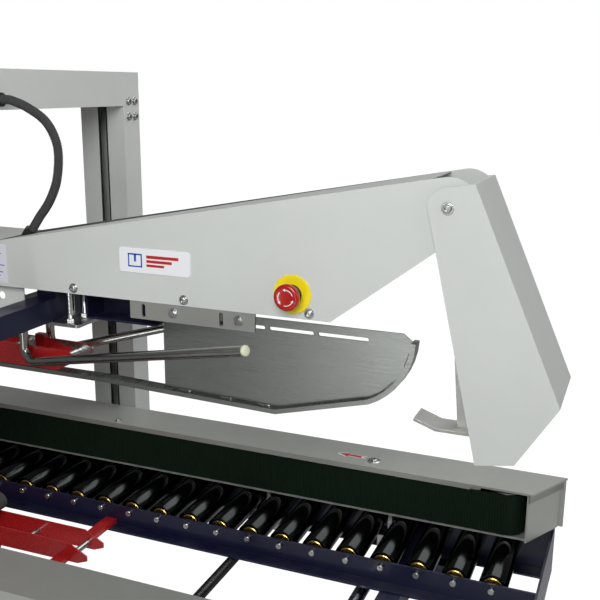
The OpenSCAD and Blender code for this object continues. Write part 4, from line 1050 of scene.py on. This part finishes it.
@dataclass
class Head:
    """The head on the lift carriage: covers, sled, guide rods, plates, stop button and conduit."""

    maker: Maker
    rod_r: float = 7.9
    rod_at: tuple[float, float] = (-30.0, 37.0)
    rod_top: float = 1104.0
    bend_z: float = 1010.0
    bend_r: float = 24.0
    turn: float = 103.4
    flare: float = 16.7
    leg: float = 520.0
    cap: float = 5.0
    stop_at: tuple[float, float] = (501.0, 1163.0)
    cover_bolt_xs: tuple[float, ...] = (108.0, 316.0, 528.0)
    cover_y: float = 70.0
    post_x: float = 62.0
    post_y: float = 20.5
    nose: tuple[float, float] = (557.0, 1094.0)
    nose_r: float = 112.0
    conduit_y: float = -10.0
    conduit_r: float = 7.95
    rib_pitch: float = 3.4
    route: list[tuple[float, float]] = field(default_factory=lambda: [
        (-62.7, 1438), (-54, 1438), (-44, 1437), (-12, 1426), (26, 1402), (46, 1362), (42, 1310),
        (24, 1270), (0, 1240), (-6, 1232), (-12, 1224), (-18, 1216)])

    def build(self) -> None:
        """Builds and dresses everything that the head carries."""
        self.conduit()
        self.maker.softened("lift_carriage", "head", [NAVY, PAINT], "navy_paint", 0.8,
                            lambda c: (c[:, 0] < -0.5) & (np.abs(c[:, 1]) < 60))
        self.maker.softened("head_spine", "head", [NAVY], "navy_paint", 0.8)
        self.maker.softened("head_sides", "head", [PAINT], "light_paint", 0.7)
        self.maker.softened("head_top_cover", "head", [PAINT, BLACK], "light_paint", 0.7, self.on_gland)
        self.maker.softened("sled_bracket", "head", [BRACKET, ZINC], "bracket_grey", 0.5,
                            lambda c: (c[:, 1] < -68.1) | ((c[:, 1] > -63.9) & (c[:, 2] < 1120)))
        self.maker.softened("sled", "head", [BRUSHED], "sled_steel", 0.5)
        self.maker.softened("kicker_cylinder", "head", [GROUND_X], "bright_steel", 0.8)
        self.welds()
        self.rods()
        self.posts()
        self.plate()
        self.label()
        self.bolts()
        self.stop()

    @staticmethod
    def on_gland(centres: np.ndarray) -> np.ndarray:
        """Whether a face of the top cover's node belongs to the conduit's gland.

        Args:
            centres: Face centres, n by 3.

        Returns:
            True or False for each face.
        """
        out = np.array([0.6, 0, 0.8])
        away = centres - np.array([-18, -10, 1216])
        along = away @ out
        across = np.linalg.norm(away - along[:, None] * out, axis=1)
        return (across < 12.4) & (along > -25) & (along < 1)

    def conduit(self) -> None:
        """Makes the corrugated conduit: radius less a rounded groove at each rib."""
        route = np.array([(x, self.conduit_y, z) for x, z in self.route])
        smooth = smooth_path(route, 6)
        path, length = even_path(smooth, self.rib_pitch / 6)
        run = np.linspace(0, length, len(path))
        groove = np.clip(0.5 - 0.9 * np.cos(run / self.rib_pitch * TAU), 0, 1)
        shape = tube(path, self.conduit_r - 1.1 * groove, Y_AXIS, 20)
        made = self.maker.piece("corrugated_conduit", "head", [(shape, RUBBER)], "black_rubber",
                                ["air_conduit"])

    def rods(self) -> None:
        """Makes the two bent guide rods with their end caps."""
        t = np.radians(np.linspace(0, self.turn, 15))
        bend = np.stack([self.bend_r * (1 - np.cos(t)), self.bend_z - self.bend_r * np.sin(t)], 1)
        way = np.array([math.sin(t[-1]), -math.cos(t[-1])])
        steps = np.linspace(0, self.leg - self.cap, 8)[1:, None]
        upright = np.stack([np.zeros(4), np.linspace(self.rod_top, self.bend_z + 4, 4)], 1)
        line = np.vstack([upright, bend, bend[-1] + steps * way])
        ends = np.array([-0.5, 0.0, 1.0, 2.0, 3.0, 4.0, 4.6, 5.0])[:, None]
        cap = line[-1] + ends * way
        radii = np.array([7.7, 8.0, 8.0, 8.0, 8.0, 7.5, 6.4, 4.6])
        turn = math.radians(self.flare)
        out, side = np.array([math.cos(turn), math.sin(turn)]), np.array([-math.sin(turn), math.cos(turn), 0])
        parts = []
        for profile, radius, finish in ((line, self.rod_r, ROD_STEEL), (cap, radii, TIP)):
            flat = np.asarray(self.rod_at) + profile[:, 0:1] * out
            shape = tube(np.column_stack([flat, profile[:, 1]]), radius, side, 24)
            parts += [(shape, finish), (shape.mirrored(), finish)]
        self.maker.piece("bent_guide_rods", "head", parts, "zinc_steel", ["side_guide_rods"])

    def posts(self) -> None:
        """Makes the two ground posts and the zinc plate that they stand on."""
        low, high = corners("guide_posts")
        top = low[2] + 6
        parts = [(panel((low[0], high[0]), (low[1], high[1]), 6, 2, low[2], top), ZINC)]
        post = [(0, top), (7.4, top), (7.5, top + 0.5), (7.5, high[2]), (0, high[2])]
        collar = [(0, top), (11.5, top), (11.5, top + 3.5), (10.8, top + 4.2), (0, top + 4.2)]
        for at in ((self.post_x, -self.post_y, 0), (self.post_x, self.post_y, 0)):
            parts += [(lathe(post, at, Z_AXIS), GROUND_Z),
                      (lathe(collar, at, Z_AXIS, 24, hexed=(1, 2)), ZINC)]
        self.maker.piece("guide_posts_turned", "head", parts, "bright_steel", ["guide_posts"], 0.6)

    def welds(self) -> None:
        """Makes short weld beads where the sled's plate meets its runner, rippled along their length."""
        parts = []
        for start in (-52, -24):
            a = np.radians(np.linspace(start, start + 13, 26))
            parts.append(self.bead(np.asarray(self.nose) + (self.nose_r - 1.2) * compass(a)))
        for x in (262, 340, 410):
            t = np.linspace(0, 1, 26)
            flat = np.stack([x + 24 * t, 962 + 0.7 - (x + 24 * t - 120) * 10 / 327], 1)
            parts.append(self.bead(flat))
        self.maker.piece("sled_weld_beads", "head", parts, "sled_steel")

    @staticmethod
    def bead(line: np.ndarray) -> tuple[Shape, Finish]:
        """One weld bead along a line: radius 1.5 + 0.25 * ripple, tapered at both ends.

        Args:
            line: Places in x and z, n by 2.

        Returns:
            The bead with its finish.
        """
        t = np.linspace(0, 1, len(line))
        ripple = 1.5 + 0.25 * np.abs(np.sin(t * 9 * math.pi))
        radius = ripple * np.minimum(1, 0.35 + 6 * np.minimum(t, 1 - t))
        path = np.stack([line[:, 0], np.full(len(line), -1.9), line[:, 1]], 1)
        return tube(path, radius, Y_AXIS, 10), BARE

    def plate(self) -> None:
        """Makes the white plate with a plain emblem: a taped carton and three bars."""
        low, high = corners("name_plate")
        face, back = low[1], high[1]
        parts = [(panel((low[0], high[0]), (low[2], high[2]), 5, 1, face, back), WHITE)]
        x, z = low[0] + 16, low[2] + 9
        marks = [((0, 26), (0, 2.4)), ((0, 26), (19.6, 22)), ((0, 2.4), (0, 22)), ((23.6, 26), (0, 22)),
                 ((11, 15), (9, 22))]
        ink = (face - 0.12, face + 0.3)
        parts += [(block((x + a[0], x + a[1]), ink, (z + b[0], z + b[1])), INK_BLUE) for a, b in marks]
        bars = [(34, 92, 15.5, 20.5), (34, 80, 8.5, 13.0), (34, 66, 2.0, 6.0)]
        parts += [(block((x + a, x + b), ink, (z + c, z + d)), INK_RED) for a, b, c, d in bars]
        self.maker.piece("emblem_plate", "head", parts, "plate_white", ["name_plate"])

    def label(self) -> None:
        """Makes the setting label at the outfeed end of the near cover: blank, with ruled marks."""
        x, z, face = (-88.0, -27.0), (1132.0, 1199.0), -70.3
        parts = [(panel(x, z, 3, 1, face, 0.1 - self.cover_y), LABEL)]
        rules = [(30, 56), (44, 50), (38, 44), (50, 30), (26, 24), (46, 18), (40, 12)]
        left, ink = x[0] + 6, (face - 0.1, face + 0.2)
        parts += [(block((left, left + w), ink, (z[0] + h, z[0] + h + 1.6)), INK_BLUE) for w, h in rules]
        self.maker.piece("setting_label", "head", parts, "plate_white")

    def bolts(self) -> None:
        """Makes the socket bolts that hold the covers, with their shanks."""
        z = sum(c[2] for c in corners("cover_bolts")) / 2
        shank = [(0, 38), (3.9, 38), (3.9, self.cover_y + 0.4), (0, self.cover_y + 0.4)]
        parts = []
        for x in self.cover_bolt_xs:
            for s in (-1, 1):
                parts += [(bolt((x, s * self.cover_y, z), s * Y_AXIS, 5.6, 1.42, 0.85), ZINC),
                          (lathe(shank, (x, 0, z), s * Y_AXIS, 16), ZINC)]
        self.maker.piece("cover_bolts_turned", "head", parts, "zinc_steel", ["cover_bolts"])

    def stop(self) -> None:
        """Makes the emergency stop: legend plate, collar, contact block and mushroom button."""
        x, z = self.stop_at
        at, out = (x, 0, z), -Y_AXIS
        disc = [(0, 70), (29.6, 70), (30, 70.5), (30, 71.4), (29.4, 72), (0, 72)]
        collar = [(0, 66), (10.9, 66), (10.9, 71.9), (15.4, 71.9), (15.4, 73.4), (13.2, 74.2),
                  (13, 77.4), (12.2, 78), (0, 78)]
        body = panel((x - 18, x + 18), (z - 22, z + 18), 2, 1, -66, -32)
        screws = [bolt((x + dx, -31.9, z + 8), Y_AXIS, 3, 1.2, 0.5) for dx in (-11, 11)]
        parts = [(lathe(disc, at, out, 64), YELLOW), (lathe(collar, at, out, 40), BLACK), (body, BLACK)]
        parts += [(screw, ZINC) for screw in screws]
        self.maker.piece("stop_legend_plate", "head", parts, "estop_yellow", ["estop_base"])
        cap = [(0, 50), (5.9, 50), (5.9, 84.6), (14, 85.5), (18.2, 86.6), (19.7, 88.4), (20, 90), (20, 94.4),
               (19.4, 96.2), (17.8, 97.5), (15.4, 98), (13.8, 97.6), (7, 97.1), (0, 97.0)]
        parts = [(lathe(cap, at, out, 56), STOP_RED)]
        for k in range(3):
            a = np.radians(np.linspace(120 * k + 20, 120 * k + 92, 14))
            arc = np.vstack([12.5 * compass(a), 11.3 * compass(a)[::-1]])
            tip = math.radians(120 * k + 92)
            head = np.array([[14.0, 0], [9.8, 0], [11.9, 4.2]])
            turn = np.array([[math.cos(tip), math.sin(tip)], [-math.sin(tip), math.cos(tip)]])
            parts += [(slab(np.array([x, z]) + arc, 1, -97.85, -97.2), WHITE),
                      (slab(np.array([x, z]) + head @ turn, 1, -97.85, -97.2), WHITE)]
        self.maker.piece("stop_mushroom", "estop_button", parts, "estop_red", ["estop_button"])


@dataclass
class Kicker:
    """The swinging hood with its foot, shaft and rod."""

    maker: Maker
    axis: tuple[float, float] = (729.0, 1305.0)
    shaft_r: float = 8.0
    half: float = 75.2
    rise: float = 10.5
    lever: tuple[float, float] = (13.0, 8.0)

    def shaft(self) -> None:
        """Makes the shaft with a bolt in each end, and its lever with the pin."""
        x, z = self.axis
        at = (x, 0, z)
        r, half = self.shaft_r, self.half
        low = corners("kicker_shaft")[0]
        hub, eye = self.lever
        drop = math.radians(self.rise - 130)
        reach = (z - low[2] - eye) / -math.sin(drop)
        pin = (x + reach * math.cos(drop), z + reach * math.sin(drop))
        turned = [(0, 12), (4, 12), (4, 24.5), (3.5, 25), (0, 25)]
        parts = [(lathe([(0, -half), (r, -half), (r, half), (0, half)], at, Y_AXIS), ZINC),
                 (slab(capsule((x, z), pin, hub, eye), 1, 6, 13), BARE),
                 (lathe(turned, (pin[0], 0, pin[1]), Y_AXIS, 20), GROUND_Y)]
        parts += [(bolt((x, s * half, z), s * Y_AXIS, 6.2, 1.45, 0.9), ZINC) for s in (-1, 1)]
        self.maker.piece("kicker_shaft_turned", "kicker", parts, "zinc_steel", ["kicker_shaft"], 0.5)

    def build(self) -> None:
        """Dresses the kicker's parts."""
        self.maker.softened("kicker_hood", "kicker", [PAINT], "light_paint", 0.8)
        self.maker.softened("kicker_arm", "kicker", [BARE], "zinc_steel", 0.8)
        self.shaft()
        self.maker.softened("kicker_rod", "kicker_rod", [GROUND_X], "bright_steel", 0.5)


@dataclass
class SideDrive:
    """One side's belt rail with its belt, pulleys, motor and marks."""

    maker: Maker
    side: Side
    drive_x: float = -800.0
    idler_x: float = 785.0
    pulley_y: float = 297.0
    belt_bore: float = 32.0
    belt_z: tuple[float, float] = (661.0, 740.0)
    belt_t: float = 5.0
    rib: float = 5.0
    rib_depth: float = 0.9
    top: float = 752.0

    @property
    def body(self) -> str:
        """The body that the rail rides on."""
        return "rail_" + self.side.word

    def placed(self, parts: list[tuple[Shape, Finish]]) -> list[tuple[Shape, Finish]]:
        """Shapes drawn for the far side, turned over when this is the near one."""
        return [(s.mirrored(), f) for s, f in parts] if self.side is Side.NEAR else parts

    def build(self) -> None:
        """Builds and dresses the side."""
        word = self.side.word
        self.maker.softened("rail_" + word, self.body, [RAIL_PAINT, ZINC], "light_paint", 0.9,
                            lambda c: c[:, 2] < 652.5)
        self.belt()
        for name, x in (("drive_pulley_", self.drive_x), ("idler_pulley_", self.idler_x)):
            self.pulley(name + word, x)
        self.motor()
        self.guard()
        self.marks()

    def guard(self) -> None:
        """Makes the folded lip of the end guard, just under the chamfered edge of the rail's top."""
        a, b = np.array([831.0, 259.0]), np.array([881.0, 350.0])
        way = (b - a) / np.linalg.norm(b - a)
        inward = np.array([-way[1], way[0], 0])
        path = np.stack([[*a, self.top - 4.2], [*b, self.top - 4.2]])
        lip = np.array([(0.5, 0), (4, 0), (4, -3), (2.2, -3), (2.2, -15), (0.5, -16)])
        parts = self.placed([(carried(lip, path, inward, Z_AXIS), BARE)])
        self.maker.piece("guard_lip_" + self.side.word, self.body, parts, "zinc_steel", bevel=0.4)

    def belt(self) -> None:
        """Makes the ribbed belt: a flat profile carried round both pulleys by its running length."""
        span = self.idler_x - self.drive_x
        radius = self.belt_bore + self.belt_t
        around = 2 * span + TAU * radius
        count = round(around / self.rib) * 4
        s = np.arange(count) / count * around
        arc = math.pi * radius
        run = s % (span + arc)
        a = np.clip((run - span) / radius, 0, math.pi)
        back = s >= span + arc
        x = np.where(back, self.idler_x - np.minimum(run, span), self.drive_x + np.minimum(run, span))
        turn = np.where(back, math.pi, 0) + a
        normal = np.stack([np.sin(turn), -np.cos(turn), 0 * turn], 1)
        path = np.stack([x, np.full(count, self.pulley_y), 0 * x], 1)
        ridge = np.where(np.arange(count) % 4 < 2, 0.0, self.rib_depth)
        low, high = self.belt_z
        outer = radius - ridge
        inner = np.full(count, self.belt_bore)
        reach = np.stack([inner, outer - 1, outer, outer, outer - 1, inner], 1)
        rise = np.broadcast_to((low, low, low + 1, high - 1, high, high), reach.shape)
        shape = carried(np.stack([reach, rise], 2), path, normal, Z_AXIS, loop=True)
        word = self.side.word
        self.maker.piece("ribbed_belt_" + word, self.body, self.placed([(shape, BELT)]), "belt_green",
                         ["side_belt_" + word])

    def pulley(self, node: str, x: float) -> None:
        """Makes a pulley: a crowned drum with recessed webs on its shaft.

        Args:
            node: The pulley's node, which is also its body.
            x: Where its shaft stands.
        """
        low, high = corners(node)
        a, b = self.belt_z
        end = high[2]
        rows = [(0, low[2]), (9, low[2]), (10, low[2] + 1), (10, a + 6), (16, a + 6), (25, a + 4),
                (27, a - 1), (30.6, a - 1), (31.4, a), (31.7, (a + b) / 2), (31.4, b), (30.6, b + 1),
                (27, b + 1), (25, b - 4), (16, b - 6), (10, b - 6), (10, end - 1), (9, end), (0, end)]
        parts = self.placed([(lathe(rows, (x, self.pulley_y, 0), Z_AXIS, 48), BARE)])
        self.maker.piece(node + "_turned", node, parts, "zinc_steel", [node])

    def motor(self) -> None:
        """Makes the gearmotor: a ribbed gearbox, a finned case, a terminal box and a fan cover."""
        node = "belt_motor_" + self.side.word
        high = corners(node)[1]
        mid, deck = self.drive_x, self.top
        xs, ys = (mid - 50, mid + 50), (260.0, 351.0)
        y, z, r = 304.0, deck + 50, 42.0
        parts = [panel(xs, ys, 9, 2, deck + 1.5, deck + 92), panel(xs, ys, 5, 2, deck, deck + 8),
                 panel((xs[0] + 5, xs[1] - 5), (ys[0] + 5, ys[1] - 5), 8, 2, deck + 91, deck + 96)]
        parts = [(shape, PAINT) for shape in parts]
        parts += [(bolt((mid + sx * 37, 305.5 + sy * 33, deck + 94.5), Z_AXIS, 3.2, 1.2, 0.3), ZINC)
                  for sx in (-1, 1) for sy in (-1, 1)]
        parts += [(block((mid - 40 + 16 * k, mid - 37 + 16 * k), ys, (deck + 8, deck + 88)), PAINT)
                  for k in range(6)]
        flange = [(0, mid + 49), (r - 0.6, mid + 49), (r, mid + 50), (r, mid + 60), (0, mid + 60)]
        tin = panel((mid + 90, mid + 160), (y - 29, y + 29), 5, 2, z + 30, z + 62)
        cover = panel((mid + 88, mid + 162), (y - 29, y + 29), 5, 2, z + 61, high[2])
        parts += [(lathe(flange, (0, y, z), X_AXIS, 48), PAINT),
                  (slab(toothed(r - 3, 5, 36, (y, z)), 0, mid + 60, mid + 190), PAINT),
                  (tin, PAINT), (cover, PAINT)]
        start, stop = mid + 190, high[0]
        fan = [(0, start), (r - 0.5, start), (r, start + 1), (r, stop - 9), (r - 1.5, stop - 4),
               (r - 5, stop - 1), (r - 8, stop)]
        for ring in (30, 26, 22, 18, 14):
            fan += [(ring, stop), (ring - 0.4, stop - 2.5), (ring - 2, stop - 2.5), (ring - 2.4, stop)]
        fan.append((0, stop))
        parts.append((lathe(fan, (0, y, z), X_AXIS, 48), BLACK))
        self.maker.piece(node + "_finned", self.body, self.placed(parts), "light_paint", [node])

    def marks(self) -> None:
        """Makes the screws on the rail's top and the arrow that shows the carton's way."""
        top = self.top
        parts = [(bolt((-49, 270, top), Z_AXIS, 5.4, 1.3, 0.45), ZINC),
                 (bolt((528, 287, top), Z_AXIS, 6.8, 1.9, 0.5), ZINC),
                 (bolt((-420, 270, top), Z_AXIS, 5.4, 1.3, 0.45), ZINC)]
        arrow = np.array([[448, 295.5], [470, 285], [470, 291], [510, 290], [502, 295.5], [510, 301],
                          [470, 300], [470, 306]])
        inner = arrow * 0.8 + np.array([479, 295.5]) * 0.2
        parts += [(slab(arrow, 2, top - 0.2, top + 0.15), WHITE),
                  (slab(inner, 2, top - 0.2, top + 0.28), INK_RED)]
        self.maker.piece("rail_marks_" + self.side.word, self.body, self.placed(parts), "zinc_steel")


@dataclass
class TapeUnit:
    """One tape unit: side plates, two roller arms, a knife arm and its tape roll."""

    maker: Maker
    unit: Unit
    pivots: tuple[Place, ...] = ((-265, 42), (-315, 42), (-290, 68))
    bars: tuple[Place, ...] = ((40, 42), (-80, 44), (-182, 88), (-436, 50), (-380, 88))
    front_roller: tuple[float, float] = (-165, -8)
    rear_roller: tuple[float, float] = (-415, -8)
    roll_x: float = -440.0
    core: tuple[float, float] = (38.1, 42.0)
    wheel_r: float = 18.4
    wheel_half: float = 19.3
    base_z: dict[Unit, float] = field(default_factory=lambda: {Unit.UPPER: 950.0, Unit.LOWER: 650.0})

    def level(self, place: Place) -> tuple[float, float]:
        """A place in the unit's own x and height, as x and z of the machine."""
        return place[0], self.base_z[self.unit] + self.unit.value * place[1]

    def build(self) -> None:
        """Builds and dresses the unit."""
        word = self.unit.word
        body = "head" if self.unit is Unit.UPPER else "base"
        steel = [(self.level(p), 6.6) for p in self.pivots + self.bars]

        def is_steel(centres: np.ndarray) -> np.ndarray:
            """Whether a face belongs to a cross bar or a pivot.

            Args:
                centres: Face centres, n by 3.

            Returns:
                True or False for each face.
            """
            found = np.zeros(len(centres), bool)
            for line, radius in steel:
                found |= near_line(centres, line, 1, radius)
            return found

        self.maker.softened(word + "_unit_frame", body, [RED, ZINC], "red_paint", 0.6, is_steel)
        for arm, roller in (("front", self.front_roller), ("rear", self.rear_roller)):
            node = f"{word}_{arm}_arm"
            line = self.level(roller)
            self.maker.softened(node, node, [ZINC, RUBBER], "zinc_steel", 0.6,
                                lambda c, line=line: near_line(c, line, 1, self.wheel_r)
                                & (np.abs(c[:, 1]) < self.wheel_half)
                                & ~near_line(c, line, 1, 5.2))
        self.maker.softened(word + "_knife_arm", word + "_knife_arm", [ZINC], "zinc_steel", 0.5)
        self.roll(word + "_tape_roll")

    def roll(self, node: str) -> None:
        """Makes the tape roll: fine winding ridges on both faces, on a card core.

        Args:
            node: The roll's node, which is also its body.
        """
        low, high = corners(node)
        z, half = (low[2] + high[2]) / 2, high[1]
        outer = (high[0] - low[0]) / 2
        inner, wall = self.core
        turns = np.arange(wall + 1, outer - 2, 2.6)
        step = np.where(np.arange(len(turns)) % 2, 0.35, 0.0)
        face = np.stack([turns, half - 0.3 - step], 1)
        profile = np.vstack([[(wall, half - 0.5)], face, [(outer - 0.6, half - 0.5), (outer, half - 1.2)],
                             [(outer, 1.2 - half), (outer - 0.6, 0.5 - half)], (face * (1, -1))[::-1],
                             [(wall, 0.5 - half)]])
        core = [(inner, -half), (wall, -half), (wall, half), (inner, half)]
        at = (self.roll_x, 0, z)
        parts = [(lathe(rows, at, Y_AXIS, 72, ring=True), finish)
                 for rows, finish in ((profile, TAPE), (core, CARD))]
        self.maker.piece(node + "_wound", node, parts, "tape_tan", [node])


@dataclass
class Controls:
    """The control box with its door, mode switch and start button."""

    maker: Maker
    lock_drop: float = 34.0

    def build(self) -> None:
        """Builds and dresses the controls."""
        self.maker.softened("control_box", "base", [PAINT], "light_paint", 1.2)
        self.maker.softened("control_door", "control_door", [PAINT, BLACK], "light_paint", 1.0,
                            lambda c: near_line(c, (-300, 480), 1, 8.1) | near_line(c, (-300, 410), 1, 8.1))
        self.switch()
        self.button()
        self.lock()

    def switch(self) -> None:
        """Makes the mode switch: a knurled bezel and a tapered lever with a white line."""
        low, high = corners("mode_switch")
        at = ((low[0] + high[0]) / 2, 0, (low[2] + high[2]) / 2)
        face = -low[1]
        rows = [(0, -high[1]), (4.9, -high[1]), (4.9, face - 18.4), (12.4, face - 18), (13, face - 17),
                (13, face - 14.6), (12, face - 14), (0, face - 14)]
        lever = panel((at[0] - 4, at[0] + 4), (at[2] - 12, at[2] + 12), 3, 1, low[1], low[1] + 15)
        line = block((at[0] - 0.6, at[0] + 0.6), (low[1] - 0.1, low[1] + 0.4), (at[2] + 3, at[2] + 11))
        parts = [(lathe(rows, at, -Y_AXIS, 36), BLACK), (lever, BLACK), (line, WHITE)]
        self.maker.piece("mode_switch_knob", "mode_switch", parts, "black_plastic", ["mode_switch"])

    def button(self) -> None:
        """Makes the start button: a bright ring and a domed green cap."""
        low, high = corners("start_button")
        at = ((low[0] + high[0]) / 2, 0, (low[2] + high[2]) / 2)
        face = -low[1]
        cap = [(0, -high[1]), (4.9, -high[1]), (4.9, face - 9), (10.6, face - 9), (10.8, face - 3),
               (9.6, face - 1), (6, face - 0.2), (0, face)]
        ring = [(10.9, face - 9), (13, face - 9), (13, face - 3.6), (12, face - 2.4), (10.9, face - 2.6)]
        parts = [(lathe(cap, at, -Y_AXIS, 36), GREEN), (lathe(ring, at, -Y_AXIS, 36, ring=True), GROUND_Y)]
        self.maker.piece("start_button_cap", "start_button", parts, "start_green", ["start_button"])

    def lock(self) -> None:
        """Makes the door's two quarter-turn locks."""
        low, high = corners("control_door")
        face = 382.0
        rows = [(0, face - 1), (9, face - 1), (9, face + 0.6), (7.6, face + 1.6), (4.4, face + 1.6),
                (4.2, face - 0.4), (0, face - 0.4)]
        shapes = [lathe(rows, (high[0] - 14, 0, z), -Y_AXIS, 30, hexed=(4, 5))
                  for z in (low[2] + self.lock_drop, high[2] - self.lock_drop)]
        self.maker.piece("door_locks", "control_door", [(shape, ZINC) for shape in shapes], "zinc_steel")


@dataclass
class Studio:
    """A white floor, soft studio light and the camera."""

    place: tuple[float, float, float] = (0.985, -1.240, 1.465)
    yaw: float = 21.967
    pitch: float = 13.788
    roll: float = 0.414
    lens: float = 52.45
    ambient: float = 0.15

    def build(self) -> None:
        """Builds the floor, the lights, the world and the camera."""
        self.camera()
        self.floor()
        self.world()
        self.area("key_light", (0.85, -1.8, 2.1), (0.2, 0.0, 1.05), (1.1, 0.9), 31)
        self.area("strip_light", (0.12, -2.6, 0.5), (0.5, 0.0, 1.0), (0.16, 0.95), 5)
        self.area("back_light", (1.1, 1.5, 3.0), (0.4, 0.0, 0.8), (2.2, 1.6), 32)
        self.area("right_light", (3.3, -0.5, 1.7), (0.6, 0.0, 1.0), (1.4, 1.4), 14)

    def camera(self) -> None:
        """Places the camera from its yaw, its downward pitch and a small roll."""
        yaw, pitch, roll = (math.radians(v) for v in (self.yaw, self.pitch, self.roll))
        flat = math.cos(pitch)
        ahead = np.array([-math.sin(yaw) * flat, math.cos(yaw) * flat, -math.sin(pitch)])
        level = np.array([math.cos(yaw), math.sin(yaw), 0])
        rise = np.cross(level, ahead)
        right = level * math.cos(roll) + rise * math.sin(roll)
        up = -level * math.sin(roll) + rise * math.cos(roll)
        pose = np.eye(4)
        pose[:3, 0], pose[:3, 1], pose[:3, 2], pose[:3, 3] = right, up, -ahead, self.place
        data = bpy.data.cameras.new("camera")
        data.lens, data.sensor_width, data.clip_end = self.lens, 36, 100
        made = bpy.data.objects.new("camera", data)
        bpy.context.scene.collection.objects.link(made)
        made.matrix_world = pose.T.tolist()
        bpy.context.scene.camera = made

    def area(self, name: str, place: Place, target: Place, size: Place, power: float) -> None:
        """Adds a rectangular light.

        Args:
            name: The light's name.
            place: Where it hangs.
            target: The point that it faces.
            size: Its width and height.
            power: Its power in watts.
        """
        data = bpy.data.lights.new(name, "AREA")
        data.shape, data.size, data.size_y, data.energy = "RECTANGLE", size[0], size[1], power
        made = bpy.data.objects.new(name, data)
        away = np.asarray(place, float) - np.asarray(target, float)
        away /= np.linalg.norm(away)
        side = np.cross(Z_AXIS, away)
        side /= np.linalg.norm(side)
        pose = np.eye(4)
        pose[:3, 0], pose[:3, 1], pose[:3, 2], pose[:3, 3] = side, np.cross(away, side), away, place
        bpy.context.scene.collection.objects.link(made)
        made.matrix_world = pose.T.tolist()

    def floor(self) -> None:
        """Adds a pale floor that looks plain white and still takes a little shade."""
        reach = 30000.0
        shape = slab(rectangle((-reach, reach), (-reach, reach)), 2, -2.0, 0.0)
        mesh = bpy.data.meshes.new("studio_floor")
        mesh.from_pydata(shape.points * MM, [], shape.faces)
        made = bpy.data.objects.new("studio_floor", mesh)
        bpy.context.scene.collection.objects.link(made)
        paper = bpy.data.materials.new("white_paper")
        paper.use_nodes = True
        paper.node_tree.nodes.clear()
        web = Web(paper.node_tree)
        shade = web.add("BsdfDiffuse", Color=(0.8, 0.8, 0.8, 1))
        glow = web.add("Emission", Color=(1, 1, 1, 1), Strength=1.14)
        mix, path = web.add("MixShader"), web.add("LightPath")
        seen = web.add("Math", operation="MULTIPLY")
        seen.inputs[1].default_value = 0.9
        web.join(path.outputs["Is Camera Ray"], seen.inputs[0])
        web.join(seen.outputs[0], mix.inputs[0])
        web.join(shade.outputs[0], mix.inputs[1])
        web.join(glow.outputs[0], mix.inputs[2])
        web.join(mix.outputs[0], web.add("OutputMaterial").inputs[0])
        mesh.materials.append(paper)

    def world(self) -> None:
        """Lights the scene softly from all round, with a white background."""
        world = bpy.data.worlds.new("studio")
        bpy.context.scene.world = world
        world.use_nodes = True
        world.node_tree.nodes.clear()
        web = Web(world.node_tree)
        path = web.add("LightPath")
        level = web.add("MapRange", To_Min=self.ambient, To_Max=1.0)
        back = web.add("Background", Color=(1, 1, 1, 1))
        web.join(path.outputs["Is Camera Ray"], level.inputs[0])
        web.join(level.outputs[0], back.inputs["Strength"])
        web.join(back.outputs[0], web.add("OutputWorld").inputs[0])
        bpy.context.scene.view_settings.view_transform = "Standard"


def plain(bounds: tuple[Sequence[float], Sequence[float]]) -> list[list[float]]:
    """A box as plain lists of numbers."""
    return [[float(v) for v in corner] for corner in bounds]


def main() -> None:
    """Builds the machine round its frame."""
    logging.basicConfig(level=logging.INFO, format="%(message)s")
    for extra in list(bpy.data.objects):
        bpy.data.objects.remove(extra)
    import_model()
    maker = Maker(Effects())
    Studio().build()
    assemblies = [Head(maker), Kicker(maker), Bed(maker), WidthDrive(maker), Gantry(maker)]
    assemblies += [SideDrive(maker, side) for side in Side]
    assemblies += [TapeUnit(maker, unit) for unit in Unit]
    assemblies.append(Controls(maker))
    for assembly in assemblies:
        assembly.build()
        LOG.info("%s built, %d pieces so far", type(assembly).__name__, maker.made)


if __name__ == "__main__":
    main()
